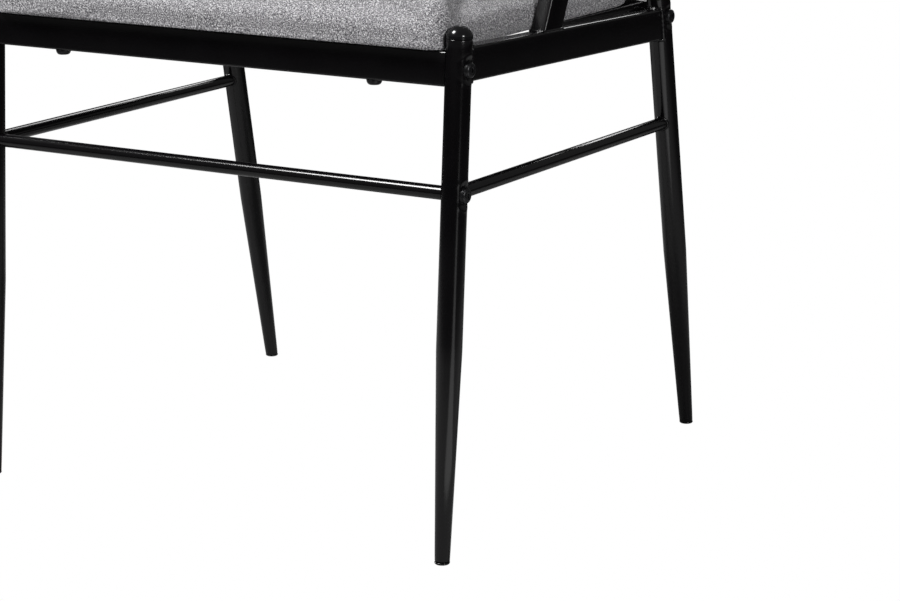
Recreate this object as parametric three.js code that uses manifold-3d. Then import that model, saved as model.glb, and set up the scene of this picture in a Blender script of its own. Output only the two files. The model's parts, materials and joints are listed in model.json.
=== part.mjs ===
// Dining chair: a knock-down steel frame with an upholstered seat and a wrap-around upholstered back.
// Millimetres, +Z up. The origin is on the floor at the centre of the four feet, the sitter faces -Y
// and the sitter's left is +X. Two welded side frames are bolted to three cross members.

import * as THREE from 'three';
import { mergeVertices } from 'three/addons/utils/BufferGeometryUtils.js';
import Module from 'manifold-3d';

const wasm = await Module();
wasm.setup();

// ---------------------------------------------------------------- driving dimensions

const GAP = 0.3; // between pieces that touch
const ROUND_SIDES = 20; // facets round a leg
const SMALL_SIDES = 12; // facets round a stretcher, bolt or nut
const BEND_SEGMENTS = 16; // steps along each curve of the back

// The side frames stand in vertical planes that open slightly towards the rear.
const SIDE_X = 254.5;
const TOE_OUT = 0.013;

// A leg's axis runs from `foot` on the floor and moves by `lean` for each unit of height.
const FRONT_LEG = { foot: -244.4, lean: 0.063, top: 456.8 };
const REAR_LEG = { foot: 244.4, lean: -0.19, top: 452 };
const LEG_R = 11;
const LEG_TIP_R = 6.6;
const LEG_WALL = 1.5;
const TAPER_HEIGHT = 190;
const GLIDE_HEIGHT = 2.4;
const GLIDE_R = 6.9;
const SPIGOT_SLACK = 0.4;
const GLIDE_SPIGOT = 14;
const CAP_SPIGOT = 12;

// Rectangular tube of the rails and struts.
const RAIL_W = 15;
const RAIL_H = 30;
const RAIL_WALL = 1.5;
const RAIL_CORNER = 2;
const CROSS_RAIL_Z = 431.5;
const SIDE_RAIL_FRONT_Z = 435.35;
const SIDE_RAIL_SLOPE = -0.0295;

// Round stretchers.
const STRETCHER_R = 6.2;
const STRETCHER_WALL = 1.2;
const STRETCHER_FRONT_Z = 325.5;
const STRETCHER_REAR_Z = 324.5;

// Struts that carry the back.
const STRUT_BASE_Y = -64;
const STRUT_LEAN = THREE.MathUtils.degToRad(26);
const STRUT_TOP_Z = 735;
const STRUT_END_WALL = 3;

// Level strips inside the side rails, under the rear half of the seat.
const REST_THICK = 3;
const REST_Y = [-45, 144];
const REST_Z = [424, 446.2];

// Threaded parts: 6 mm button-head bolts and what they screw into.
const SHANK_R = 3;
const HOLE_R = 3.6;
const HEAD_R = 7;
const HEAD_H = 3.6;
const SOCKET_R = 2.3;
const SOCKET_DEPTH = 2;
const FRAME_BOLT_LENGTH = 42;
const PLUG_LENGTH = 22;
const NUT_R = 4.9;
const NUT_LENGTH = 10;
const NUT_FLANGE = { r: 6.2, h: 1.2 };
const SEAT_BOLT_X = 168.5;
const SEAT_BOLT_HEAD_H = 4.8;
const BACK_BOLT_Z = [640, 705];

// Seat: outline and layers from the rails up.
const SEAT_HALF = 243.5;
const SEAT_FRONT = -229;
const SEAT_REAR = 200;
const SEAT_FRONT_R = 36;
const SEAT_REAR_R = 160;
const DUST_COVER = { bottom: 446.8, thick: 1, inset: 24 };
const SEAT_COVER = { bottom: 447.4, top: 492, thick: 2 };
const SEAT_BOARD = { bottom: 448.1, thick: 12 };

// Back: a band with straight arms that runs round behind the sitter, leaning back.
const BACK_HALF = 247;
const BACK_ARM_FRONT = -10;
const BACK_ARM_REAR = 80;
const BACK_BEND_DEPTH = 135;
const BACK_BOTTOM = 610;
const BACK_HEIGHT = 180;
const BACK_LEAN = THREE.MathUtils.degToRad(8);
const BACK_THICK = 45;
const BACK_COVER_THICK = 2;
const BACK_SHELL_THICK = 12;

// ---------------------------------------------------------------- materials

function finish(name, color, roughness, metalness) {
  return new THREE.MeshStandardMaterial({ name, color, roughness, metalness });
}

const FINISH = {
  steel: finish('powder_coat', 0x151416, 0.38, 0.35),
  plastic: finish('cap_plastic', 0x0e0e10, 0.3, 0.0),
  bolt: finish('bolt_black', 0x1c1c1f, 0.32, 0.8),
  zinc: finish('zinc_plate', 0xb4b6ba, 0.35, 0.9),
  plywood: finish('plywood', 0xc9a878, 0.7, 0.0),
  foam: finish('foam', 0xe8e2cf, 0.95, 0.0),
  fabric: finish('fabric', 0x9f9da1, 0.95, 0.0),
  lining: finish('lining', 0x1a1a1c, 0.9, 0.0),
};

// ---------------------------------------------------------------- solids

function solid(geometry) {
  geometry.deleteAttribute('normal');
  geometry.deleteAttribute('uv');
  const merged = mergeVertices(geometry, 1e-4);
  return new wasm.Manifold(
    new wasm.Mesh({
      numProp: 3,
      vertProperties: new Float32Array(merged.attributes.position.array),
      triVerts: new Uint32Array(merged.index.array),
    }),
  );
}

function geometryOf(manifold) {
  const mesh = manifold.getMesh();
  const geometry = new THREE.BufferGeometry();
  geometry.setAttribute('position', new THREE.BufferAttribute(mesh.vertProperties, 3));
  geometry.setIndex(new THREE.BufferAttribute(mesh.triVerts, 1));
  return geometry;
}

function cutAll(body, cutters) {
  return cutters.reduce((left, cutter) => left.subtract(cutter), body);
}

function addPart(parent, name, body, material) {
  const mesh = new THREE.Mesh(geometryOf(body), material);
  mesh.name = name;
  parent.add(mesh);
  return mesh;
}

// A turned solid about +Z from [radius, height] points listed from the bottom to the top.
function turned(points, sides) {
  const profile = points.map(([radius, height]) => new THREE.Vector2(radius, height));
  return new THREE.LatheGeometry(profile, sides).rotateX(Math.PI / 2);
}

function boxBetween(low, high) {
  const size = new THREE.Vector3().subVectors(high, low);
  const centre = new THREE.Vector3().addVectors(low, high).multiplyScalar(0.5);
  return solid(new THREE.BoxGeometry(size.x, size.y, size.z).translate(centre.x, centre.y, centre.z));
}

// A straight hole along X through (y, z).
function crossHole(radius, y, z, reach = 30) {
  const rod = new THREE.CylinderGeometry(radius, radius, 2 * reach, SMALL_SIDES);
  return solid(rod.rotateZ(Math.PI / 2).translate(0, y, z));
}

function roundedRectangle(shape, halfWidth, halfHeight, radius) {
  const [x, y] = [halfWidth - radius, halfHeight - radius];
  shape.absarc(x, -y, radius, -Math.PI / 2, 0);
  shape.absarc(x, y, radius, 0, Math.PI / 2);
  shape.absarc(-x, y, radius, Math.PI / 2, Math.PI);
  shape.absarc(-x, -y, radius, Math.PI, 1.5 * Math.PI);
  shape.closePath();
  return shape;
}

function extruded(shape, length, curveSegments = 3) {
  return new THREE.ExtrudeGeometry(shape, { depth: length, bevelEnabled: false, curveSegments });
}

// Rectangular tube along +Z, from 0 to `length`, with its RAIL_W side along X and RAIL_H along Y.
function rectangularTube(length) {
  const section = roundedRectangle(new THREE.Shape(), RAIL_W / 2, RAIL_H / 2, RAIL_CORNER);
  const [innerW, innerH] = [RAIL_W / 2 - RAIL_WALL, RAIL_H / 2 - RAIL_WALL];
  section.holes.push(roundedRectangle(new THREE.Path(), innerW, innerH, RAIL_CORNER / 2));
  return extruded(section, length);
}

function roundTube(radius, wall, length) {
  return turned(
    [
      [radius - wall, 0],
      [radius, 0],
      [radius, length],
      [radius - wall, length],
      [radius - wall, 0],
    ],
    SMALL_SIDES,
  );
}

// Button-head bolt along +Z: head above z = 0, shank below it, six-sided socket in the head.
function buttonBolt(shankLength, headHeight) {
  const crown = [0, 0.5, 1].map((step) => {
    const angle = (step * Math.PI) / 2;
    return [HEAD_R * Math.cos(angle), headHeight * (0.3 + 0.7 * Math.sin(angle))];
  });
  const outline = [[0, -shankLength], [SHANK_R, -shankLength], [SHANK_R, 0], [HEAD_R, 0], ...crown];
  outline[outline.length - 1][0] = 0;
  const socket = new THREE.CylinderGeometry(SOCKET_R, SOCKET_R, 2 * SOCKET_DEPTH, 6);
  socket.rotateX(Math.PI / 2).translate(0, 0, headHeight);
  return solid(turned(outline, SMALL_SIDES)).subtract(solid(socket));
}

// Flanged insert nut along +Z: flange at z = 0, barrel above it, open right through.
function insertNut() {
  const bore = SHANK_R + GAP;
  return solid(
    turned(
      [
        [bore, 0],
        [NUT_FLANGE.r, 0],
        [NUT_FLANGE.r, NUT_FLANGE.h],
        [NUT_R, NUT_FLANGE.h],
        [NUT_R, NUT_LENGTH],
        [bore, NUT_LENGTH],
        [bore, 0],
      ],
      SMALL_SIDES,
    ),
  );
}

// The stepped hole that an insert nut sits in, running on as a bolt hole.
function nutPocket(depth) {
  return solid(
    turned(
      [
        [0, -1],
        [NUT_FLANGE.r + GAP, -1],
        [NUT_FLANGE.r + GAP, NUT_FLANGE.h + GAP],
        [NUT_R + GAP, NUT_FLANGE.h + GAP],
        [NUT_R + GAP, depth],
        [0, depth],
      ],
      SMALL_SIDES,
    ),
  );
}

// ---------------------------------------------------------------- legs

function legY(leg, z) {
  return leg.foot + leg.lean * z;
}

// Puts geometry made about +Z, measured from the floor, onto the leg's axis in the side plane.
function ontoLeg(geometry, leg) {
  return geometry.rotateX(-Math.atan(leg.lean)).translate(0, leg.foot, 0);
}

function alongLeg(leg, z) {
  return z * Math.hypot(1, leg.lean);
}

// The space that a leg takes, with the gap, to shape what butts against it.
function legClearance(leg) {
  const rod = new THREE.CylinderGeometry(LEG_R + 1.4 * GAP, LEG_R + 1.4 * GAP, 300, ROUND_SIDES);
  return ontoLeg(rod.rotateX(Math.PI / 2).translate(0, 0, alongLeg(leg, 400)), leg);
}

function legTube(leg, boltHeights) {
  const [tip, taper, top] = [-6, alongLeg(leg, TAPER_HEIGHT), alongLeg(leg, leg.top)];
  const tube = turned(
    [
      [LEG_TIP_R - LEG_WALL, tip],
      [LEG_TIP_R, tip],
      [LEG_TIP_R, 0],
      [LEG_R, taper],
      [LEG_R, top],
      [LEG_R - LEG_WALL, top],
      [LEG_R - LEG_WALL, taper],
      [LEG_TIP_R - LEG_WALL, 0],
      [LEG_TIP_R - LEG_WALL, tip],
    ],
    ROUND_SIDES,
  );
  const reach = 40;
  const floorCut = boxBetween(
    new THREE.Vector3(-reach, leg.foot - reach, -reach),
    new THREE.Vector3(reach, leg.foot + reach, GLIDE_HEIGHT + GAP),
  );
  const holes = boltHeights.map((z) => crossHole(HOLE_R, legY(leg, z), z));
  return cutAll(solid(ontoLeg(tube, leg)), [floorCut, ...holes]);
}

function legCap(leg) {
  const seam = alongLeg(leg, leg.top) + GAP;
  const spigot = LEG_R - LEG_WALL - SPIGOT_SLACK;
  const steps = 4;
  const dome = Array.from({ length: steps + 1 }, (_, step) => {
    const angle = (step / steps) * (Math.PI / 2);
    return [step === steps ? 0 : LEG_R * Math.cos(angle), seam + LEG_R * Math.sin(angle)];
  });
  const outline = [[0, seam - CAP_SPIGOT], [spigot, seam - CAP_SPIGOT], [spigot, seam], ...dome];
  return solid(ontoLeg(turned(outline, ROUND_SIDES), leg));
}

function footGlide(leg) {
  const centre = legY(leg, GLIDE_HEIGHT / 2);
  const pad = new THREE.CylinderGeometry(GLIDE_R, GLIDE_R - 0.6, GLIDE_HEIGHT, ROUND_SIDES);
  pad.rotateX(Math.PI / 2).translate(0, centre, GLIDE_HEIGHT / 2);
  const radius = LEG_TIP_R - LEG_WALL - SPIGOT_SLACK;
  const spigot = new THREE.CylinderGeometry(radius, radius, GLIDE_SPIGOT, ROUND_SIDES);
  spigot.rotateX(Math.PI / 2).translate(0, 0, GLIDE_SPIGOT / 2 + GLIDE_HEIGHT / 2);
  return solid(pad).add(solid(ontoLeg(spigot, leg)));
}

// ---------------------------------------------------------------- side frame

function sideRailZ(y) {
  return SIDE_RAIL_FRONT_Z + SIDE_RAIL_SLOPE * (y - legY(FRONT_LEG, CROSS_RAIL_Z));
}

// Turns a tube made along +Z so that it runs from (y0, z0) towards (y1, z1) in the side plane.
function spanInPlane(geometry, y0, z0, y1, z1) {
  return geometry.rotateX(-Math.atan2(y1 - y0, z1 - z0)).translate(0, y0, z0);
}

function sideRail() {
  const [y0, y1] = [legY(FRONT_LEG, CROSS_RAIL_Z) + 4, legY(REAR_LEG, CROSS_RAIL_Z) - 4];
  const [z0, z1] = [sideRailZ(y0), sideRailZ(y1)];
  const tube = spanInPlane(rectangularTube(Math.hypot(y1 - y0, z1 - z0)), y0, z0, y1, z1);
  return cutAll(solid(tube), [solid(legClearance(FRONT_LEG)), solid(legClearance(REAR_LEG))]);
}

function sideStretcher() {
  const [z0, z1] = [STRETCHER_FRONT_Z, STRETCHER_REAR_Z];
  const [y0, y1] = [legY(FRONT_LEG, z0) + 4, legY(REAR_LEG, z1) - 4];
  const tube = roundTube(STRETCHER_R, STRETCHER_WALL, Math.hypot(y1 - y0, z1 - z0));
  const body = solid(spanInPlane(tube, y0, z0, y1, z1));
  return cutAll(body, [solid(legClearance(FRONT_LEG)), solid(legClearance(REAR_LEG))]);
}

function seatRest() {
  const outer = -(RAIL_W / 2 + GAP);
  return boxBetween(
    new THREE.Vector3(outer - REST_THICK, REST_Y[0], REST_Z[0]),
    new THREE.Vector3(outer, REST_Y[1], REST_Z[1]),
  );
}

function strutBaseZ() {
  return sideRailZ(STRUT_BASE_Y) + RAIL_H / 2;
}

function strutY(z) {
  return STRUT_BASE_Y + (z - strutBaseZ()) * Math.tan(STRUT_LEAN);
}

function backStrut() {
  const below = 20;
  const length = below + (STRUT_TOP_Z - strutBaseZ()) / Math.cos(STRUT_LEAN);
  const outside = extruded(roundedRectangle(new THREE.Shape(), RAIL_W / 2, RAIL_H / 2, RAIL_CORNER), length);
  const [coreW, coreH] = [RAIL_W / 2 - RAIL_WALL, RAIL_H / 2 - RAIL_WALL];
  const core = roundedRectangle(new THREE.Shape(), coreW, coreH, RAIL_CORNER / 2);
  const inside = extruded(core, length - STRUT_END_WALL);
  const hollow = solid(outside.translate(0, 0, -below)).subtract(solid(inside.translate(0, 0, -below - 1)));
  const raised = geometryOf(hollow).rotateX(-STRUT_LEAN).translate(0, STRUT_BASE_Y, strutBaseZ());
  const railTop = new THREE.BoxGeometry(60, 160, 60).translate(0, 0, -30 + GAP);
  railTop.rotateX(Math.atan(SIDE_RAIL_SLOPE)).translate(0, STRUT_BASE_Y, strutBaseZ());
  const holes = BACK_BOLT_Z.map((z) => crossHole(HOLE_R, strutY(z), z));
  return cutAll(solid(raised), [solid(railTop), ...holes]);
}

// ---------------------------------------------------------------- cross members

// A leg's clearance in the chair's own frame, on the left (sign 1) or the right (sign -1).
function placedLegClearance(leg, sign) {
  return solid(legClearance(leg).rotateZ(-sign * Math.atan(TOE_OUT)).translate(sign * SIDE_X, 0, 0));
}

function legX(y) {
  return SIDE_X + TOE_OUT * y;
}

function bothLegs(leg) {
  return [placedLegClearance(leg, 1), placedLegClearance(leg, -1)];
}

function crossRail(leg) {
  const y = legY(leg, CROSS_RAIL_Z);
  const half = legX(y) - RAIL_W / 2 - 1;
  const tube = rectangularTube(2 * half).translate(0, 0, -half);
  tube.rotateZ(Math.PI / 2).rotateY(Math.PI / 2);
  const boltHoles = [-1, 1].map((sign) => {
    const rod = new THREE.CylinderGeometry(HOLE_R, HOLE_R, 60, SMALL_SIDES);
    return solid(rod.rotateX(Math.PI / 2).translate(sign * SEAT_BOLT_X, y, CROSS_RAIL_Z));
  });
  return cutAll(solid(tube.translate(0, y, CROSS_RAIL_Z)), [...bothLegs(leg), ...boltHoles]);
}

function frontStretcher() {
  const y = legY(FRONT_LEG, STRETCHER_FRONT_Z);
  const half = legX(y) - RAIL_W / 2 - 1;
  const tube = roundTube(STRETCHER_R, STRETCHER_WALL, 2 * half).translate(0, 0, -half);
  return cutAll(solid(tube.rotateY(Math.PI / 2).translate(0, y, STRETCHER_FRONT_Z)), bothLegs(FRONT_LEG));
}

// A threaded block that closes the left end of a cross rail.
function railPlug(leg) {
  const y = legY(leg, CROSS_RAIL_Z);
  const [halfW, halfH] = [RAIL_W / 2 - RAIL_WALL - GAP, RAIL_H / 2 - RAIL_WALL - GAP];
  const block = roundedRectangle(new THREE.Shape(), halfW, halfH, RAIL_CORNER / 2);
  const body = extruded(block, PLUG_LENGTH).rotateZ(Math.PI / 2).rotateY(Math.PI / 2);
  body.translate(legX(y) - LEG_R + 2 - PLUG_LENGTH, y, CROSS_RAIL_Z);
  const bore = crossHole(SHANK_R + 2 * GAP, y, CROSS_RAIL_Z, legX(y));
  return cutAll(solid(body), [placedLegClearance(leg, 1), bore]);
}

function stretcherPlug() {
  const y = legY(FRONT_LEG, STRETCHER_FRONT_Z);
  const radius = STRETCHER_R - STRETCHER_WALL - GAP;
  const body = roundTube(radius, radius - SHANK_R - 2 * GAP, PLUG_LENGTH).rotateY(Math.PI / 2);
  body.translate(legX(y) - LEG_R + 2 - PLUG_LENGTH, y, STRETCHER_FRONT_Z);
  return solid(body).subtract(placedLegClearance(FRONT_LEG, 1));
}

// A frame bolt on the left side, its head's underside shaped to the round leg.
function frameBolt(leg, z) {
  const y = legY(leg, z);
  const embed = 3;
  const bolt = geometryOf(buttonBolt(FRAME_BOLT_LENGTH, HEAD_H + embed)).rotateY(Math.PI / 2);
  const placed = solid(bolt.translate(legX(y) + LEG_R - embed, y, z));
  const length = FRAME_BOLT_LENGTH + 1;
  const shank = new THREE.CylinderGeometry(SHANK_R, SHANK_R, length, SMALL_SIDES);
  shank.rotateZ(Math.PI / 2).translate(legX(y) + LEG_R + 1 - length / 2, y, z);
  return placed.subtract(placedLegClearance(leg, 1)).add(solid(shank));
}

// ---------------------------------------------------------------- seat

function seatOutline(inset) {
  const [half, front, rear] = [SEAT_HALF - inset, SEAT_FRONT + inset, SEAT_REAR - inset];
  const [frontR, rearR] = [SEAT_FRONT_R - inset, SEAT_REAR_R - inset];
  const shape = new THREE.Shape();
  shape.absarc(half - frontR, front + frontR, frontR, -Math.PI / 2, 0);
  shape.absarc(half - rearR, rear - rearR, rearR, 0, Math.PI / 2);
  shape.absarc(rearR - half, rear - rearR, rearR, Math.PI / 2, Math.PI);
  shape.absarc(frontR - half, front + frontR, frontR, Math.PI, 1.5 * Math.PI);
  shape.closePath();
  return shape;
}

function seatLayer(inset, bottom, thick) {
  return solid(extruded(seatOutline(inset), thick, 8).translate(0, 0, bottom));
}

function seatBoltPlaces() {
  const places = [];
  for (const [end, leg] of [['front', FRONT_LEG], ['rear', REAR_LEG]]) {
    for (const [side, sign] of [['left', 1], ['right', -1]]) {
      places.push({ label: `${end}_${side}`, x: sign * SEAT_BOLT_X, y: legY(leg, CROSS_RAIL_Z) });
    }
  }
  return places;
}

function seatBoard() {
  const board = seatLayer(SEAT_COVER.thick + GAP, SEAT_BOARD.bottom, SEAT_BOARD.thick);
  const pocketDepth = SEAT_BOARD.thick + 1;
  const pockets = seatBoltPlaces().map(({ x, y }) =>
    solid(geometryOf(nutPocket(pocketDepth)).translate(x, y, SEAT_BOARD.bottom)),
  );
  return cutAll(board, pockets);
}

function seatFoam() {
  const bottom = SEAT_BOARD.bottom + SEAT_BOARD.thick + GAP;
  const top = SEAT_COVER.top - SEAT_COVER.thick - GAP;
  return seatLayer(SEAT_COVER.thick + GAP, bottom, top - bottom);
}

function seatCover() {
  const { bottom, top, thick } = SEAT_COVER;
  const inside = seatLayer(thick, bottom - 1, top - thick - bottom + 1);
  return seatLayer(0, bottom, top - bottom).subtract(inside);
}

function seatBolt(x, y) {
  const shankLength = SEAT_BOARD.bottom + NUT_LENGTH - (CROSS_RAIL_Z - RAIL_H / 2);
  const bolt = geometryOf(buttonBolt(shankLength, SEAT_BOLT_HEAD_H)).rotateX(Math.PI);
  return solid(bolt.translate(x, y, CROSS_RAIL_Z - RAIL_H / 2 - GAP));
}

function addSeat(chair) {
  const { bottom, thick, inset } = DUST_COVER;
  addPart(chair, 'seat_dust_cover', seatLayer(inset, bottom, thick), FINISH.lining);
  addPart(chair, 'seat_board', seatBoard(), FINISH.plywood);
  addPart(chair, 'seat_foam', seatFoam(), FINISH.foam);
  addPart(chair, 'seat_cover', seatCover(), FINISH.fabric);
  for (const { label, x, y } of seatBoltPlaces()) {
    const nut = geometryOf(insertNut()).translate(x, y, SEAT_BOARD.bottom);
    addPart(chair, `seat_bolt_${label}`, seatBolt(x, y), FINISH.bolt);
    addPart(chair, `seat_nut_${label}`, solid(nut), FINISH.zinc);
  }
}

// ---------------------------------------------------------------- back

// The band between two insets from its outer face, in plan; the arms end square at the front.
function backBand(outerInset, innerInset, endInset) {
  const front = BACK_ARM_FRONT + endInset;
  const shape = new THREE.Shape();
  shape.moveTo(BACK_HALF - outerInset, front);
  shape.lineTo(BACK_HALF - outerInset, BACK_ARM_REAR);
  const [outerX, outerY] = [BACK_HALF - outerInset, BACK_BEND_DEPTH - outerInset];
  shape.absellipse(0, BACK_ARM_REAR, outerX, outerY, 0, Math.PI);
  shape.lineTo(outerInset - BACK_HALF, front);
  shape.lineTo(innerInset - BACK_HALF, front);
  shape.lineTo(innerInset - BACK_HALF, BACK_ARM_REAR);
  const [innerX, innerY] = [BACK_HALF - innerInset, BACK_BEND_DEPTH - innerInset];
  shape.absellipse(0, BACK_ARM_REAR, innerX, innerY, Math.PI, 0, true);
  shape.lineTo(BACK_HALF - innerInset, front);
  shape.closePath();
  return shape;
}

function backLayer(outerInset, innerInset, endInset, bottom, top) {
  const band = extruded(backBand(outerInset, innerInset, endInset), top - bottom, BEND_SEGMENTS);
  return solid(band.translate(0, 0, bottom));
}

// Places along the struts, in the back's own leaning frame.
function backBoltPlaces() {
  return BACK_BOLT_Z.map((z, index) => {
    const place = new THREE.Vector3(0, strutY(z), z - BACK_BOTTOM);
    place.applyAxisAngle(new THREE.Vector3(1, 0, 0), BACK_LEAN);
    return { label: ['lower', 'upper'][index], y: place.y, z: place.z, chairY: strutY(z), chairZ: z };
  });
}

// Bolt holes through the outer wall of the cover only, on both arms.
function coverBoltHoles() {
  const holes = [];
  for (const { y, z } of backBoltPlaces()) {
    for (const x of [-BACK_HALF, BACK_HALF]) {
      const rod = new THREE.CylinderGeometry(HOLE_R, HOLE_R, 4 * BACK_COVER_THICK, SMALL_SIDES);
      holes.push(solid(rod.rotateZ(Math.PI / 2).translate(x, y, z)));
    }
  }
  return holes;
}

function shellInnerX() {
  return BACK_HALF - BACK_COVER_THICK - GAP - BACK_SHELL_THICK;
}

function backShell() {
  const skin = BACK_COVER_THICK + GAP;
  const shell = backLayer(skin, skin + BACK_SHELL_THICK, skin, 1, BACK_HEIGHT - skin);
  const pockets = [];
  for (const { y, z } of backBoltPlaces()) {
    const depth = BACK_SHELL_THICK + 3;
    const left = geometryOf(nutPocket(depth)).rotateY(Math.PI / 2).translate(shellInnerX(), y, z);
    const right = geometryOf(nutPocket(depth)).rotateY(-Math.PI / 2).translate(-shellInnerX(), y, z);
    pockets.push(solid(left), solid(right));
  }
  return cutAll(shell, pockets);
}

function backFoam() {
  const skin = BACK_COVER_THICK + GAP;
  const outer = skin + BACK_SHELL_THICK + GAP;
  return backLayer(outer, BACK_THICK - skin, skin, 1, BACK_HEIGHT - skin);
}

function backCover() {
  const thick = BACK_COVER_THICK;
  const inside = backLayer(thick, BACK_THICK - thick, thick, -1, BACK_HEIGHT - thick);
  return cutAll(backLayer(0, BACK_THICK, 0, 0, BACK_HEIGHT), [inside, ...coverBoltHoles()]);
}

function addBack(chair) {
  const back = new THREE.Group();
  back.position.z = BACK_BOTTOM;
  back.rotation.x = -BACK_LEAN;
  addPart(back, 'back_shell', backShell(), FINISH.plywood);
  addPart(back, 'back_foam', backFoam(), FINISH.foam);
  addPart(back, 'back_cover', backCover(), FINISH.fabric);
  chair.add(back);
}

function addBackFasteners(half, side) {
  for (const { label, chairY, chairZ } of backBoltPlaces()) {
    const seatX = legX(chairY) + RAIL_W / 2 + GAP;
    const tipX = shellInnerX() + GAP;
    const bolt = geometryOf(buttonBolt(seatX - tipX, HEAD_H)).rotateY(Math.PI / 2);
    addPart(half, `back_bolt_${label}_${side}`, solid(bolt.translate(seatX, chairY, chairZ)), FINISH.bolt);
    const nut = geometryOf(insertNut()).rotateY(Math.PI / 2).translate(shellInnerX(), chairY, chairZ);
    addPart(half, `back_nut_${label}_${side}`, solid(nut), FINISH.zinc);
  }
}

// ---------------------------------------------------------------- assembly

// One side of the chair. `plane` is the toed-out side frame, `half` holds what is square to the chair.
function addSide(chair, side, sign) {
  const half = new THREE.Group();
  half.scale.x = sign;
  chair.add(half);
  const plane = new THREE.Group();
  plane.position.x = SIDE_X;
  plane.rotation.z = -Math.atan(TOE_OUT);
  half.add(plane);

  const legs = [
    { end: 'front', leg: FRONT_LEG, boltHeights: [CROSS_RAIL_Z, STRETCHER_FRONT_Z] },
    { end: 'rear', leg: REAR_LEG, boltHeights: [CROSS_RAIL_Z] },
  ];
  for (const { end, leg, boltHeights } of legs) {
    addPart(plane, `${end}_leg_${side}`, legTube(leg, boltHeights), FINISH.steel);
    addPart(plane, `${end}_leg_cap_${side}`, legCap(leg), FINISH.plastic);
    addPart(plane, `${end}_foot_glide_${side}`, footGlide(leg), FINISH.plastic);
    addPart(half, `${end}_rail_plug_${side}`, railPlug(leg), FINISH.zinc);
    addPart(half, `${end}_rail_bolt_${side}`, frameBolt(leg, CROSS_RAIL_Z), FINISH.bolt);
  }
  addPart(half, `stretcher_plug_${side}`, stretcherPlug(), FINISH.zinc);
  addPart(half, `stretcher_bolt_${side}`, frameBolt(FRONT_LEG, STRETCHER_FRONT_Z), FINISH.bolt);
  addPart(plane, `side_rail_${side}`, sideRail(), FINISH.steel);
  addPart(plane, `side_stretcher_${side}`, sideStretcher(), FINISH.steel);
  addPart(plane, `seat_rest_${side}`, seatRest(), FINISH.steel);
  addPart(plane, `back_strut_${side}`, backStrut(), FINISH.steel);
  addBackFasteners(half, side);
}

function buildChair() {
  const chair = new THREE.Group();
  addSide(chair, 'left', 1);
  addSide(chair, 'right', -1);
  addPart(chair, 'front_rail', crossRail(FRONT_LEG), FINISH.steel);
  addPart(chair, 'rear_rail', crossRail(REAR_LEG), FINISH.steel);
  addPart(chair, 'front_stretcher', frontStretcher(), FINISH.steel);
  addSeat(chair);
  addBack(chair);
  return chair;
}

export default buildChair();
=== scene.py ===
"""Looks of a dining chair: a powder-coated tube frame, an upholstered seat and a wrap-around back.

Metres, +Z up. The sitter faces -Y and the sitter's left is +X. Every piece stands where its part of
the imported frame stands.
"""

import json
import logging
import math
from dataclasses import dataclass
from enum import Enum
from functools import lru_cache
from typing import Callable, Iterable, Optional, Sequence, Union

import bmesh
import bpy
from mathutils import Matrix, Quaternion, Vector, noise


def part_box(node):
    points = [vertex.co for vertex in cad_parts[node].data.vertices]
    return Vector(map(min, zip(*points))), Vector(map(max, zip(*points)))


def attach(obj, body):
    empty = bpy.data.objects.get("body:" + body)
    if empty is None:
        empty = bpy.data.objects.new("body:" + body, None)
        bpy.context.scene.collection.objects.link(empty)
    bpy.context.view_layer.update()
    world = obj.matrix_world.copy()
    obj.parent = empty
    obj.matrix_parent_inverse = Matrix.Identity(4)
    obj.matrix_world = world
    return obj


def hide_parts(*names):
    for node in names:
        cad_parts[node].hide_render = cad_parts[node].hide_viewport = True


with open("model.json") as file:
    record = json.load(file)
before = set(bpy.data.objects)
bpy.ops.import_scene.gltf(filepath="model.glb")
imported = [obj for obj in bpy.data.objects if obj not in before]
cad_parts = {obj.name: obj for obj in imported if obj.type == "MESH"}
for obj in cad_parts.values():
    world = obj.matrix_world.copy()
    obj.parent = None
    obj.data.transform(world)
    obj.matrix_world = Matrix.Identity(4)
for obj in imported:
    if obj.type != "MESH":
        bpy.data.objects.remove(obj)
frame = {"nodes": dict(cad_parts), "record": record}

log = logging.getLogger("chair")

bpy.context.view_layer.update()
ROUND_STEPS = 64
WELDED = 2e-6
CUT = 1e-7
COPE_ROWS = (-0.0045, 0.0045, 5)
Shape = bmesh.types.BMesh
Profile = Sequence[tuple[float, float]]
Number = Union[float, "Wire"]
Colour = tuple[float, float, float, float]


class Side(Enum):
    """The sitter's left and right."""

    LEFT = "left"
    RIGHT = "right"

    @property
    def sign(self) -> int:
        """+1 on the left, where X is positive."""
        return 1 if self is Side.LEFT else -1


class End(Enum):
    """Front and rear of the chair."""

    FRONT = "front"
    REAR = "rear"


class Slot(Enum):
    """Material slots of the record."""

    STEEL = "powder_coat"
    PLASTIC = "cap_plastic"
    BOLT = "bolt_black"
    ZINC = "zinc_plate"
    PLYWOOD = "plywood"
    FABRIC = "fabric"
    LINING = "lining"


# ------------------------------------------------------------------------------- shader building


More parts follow.
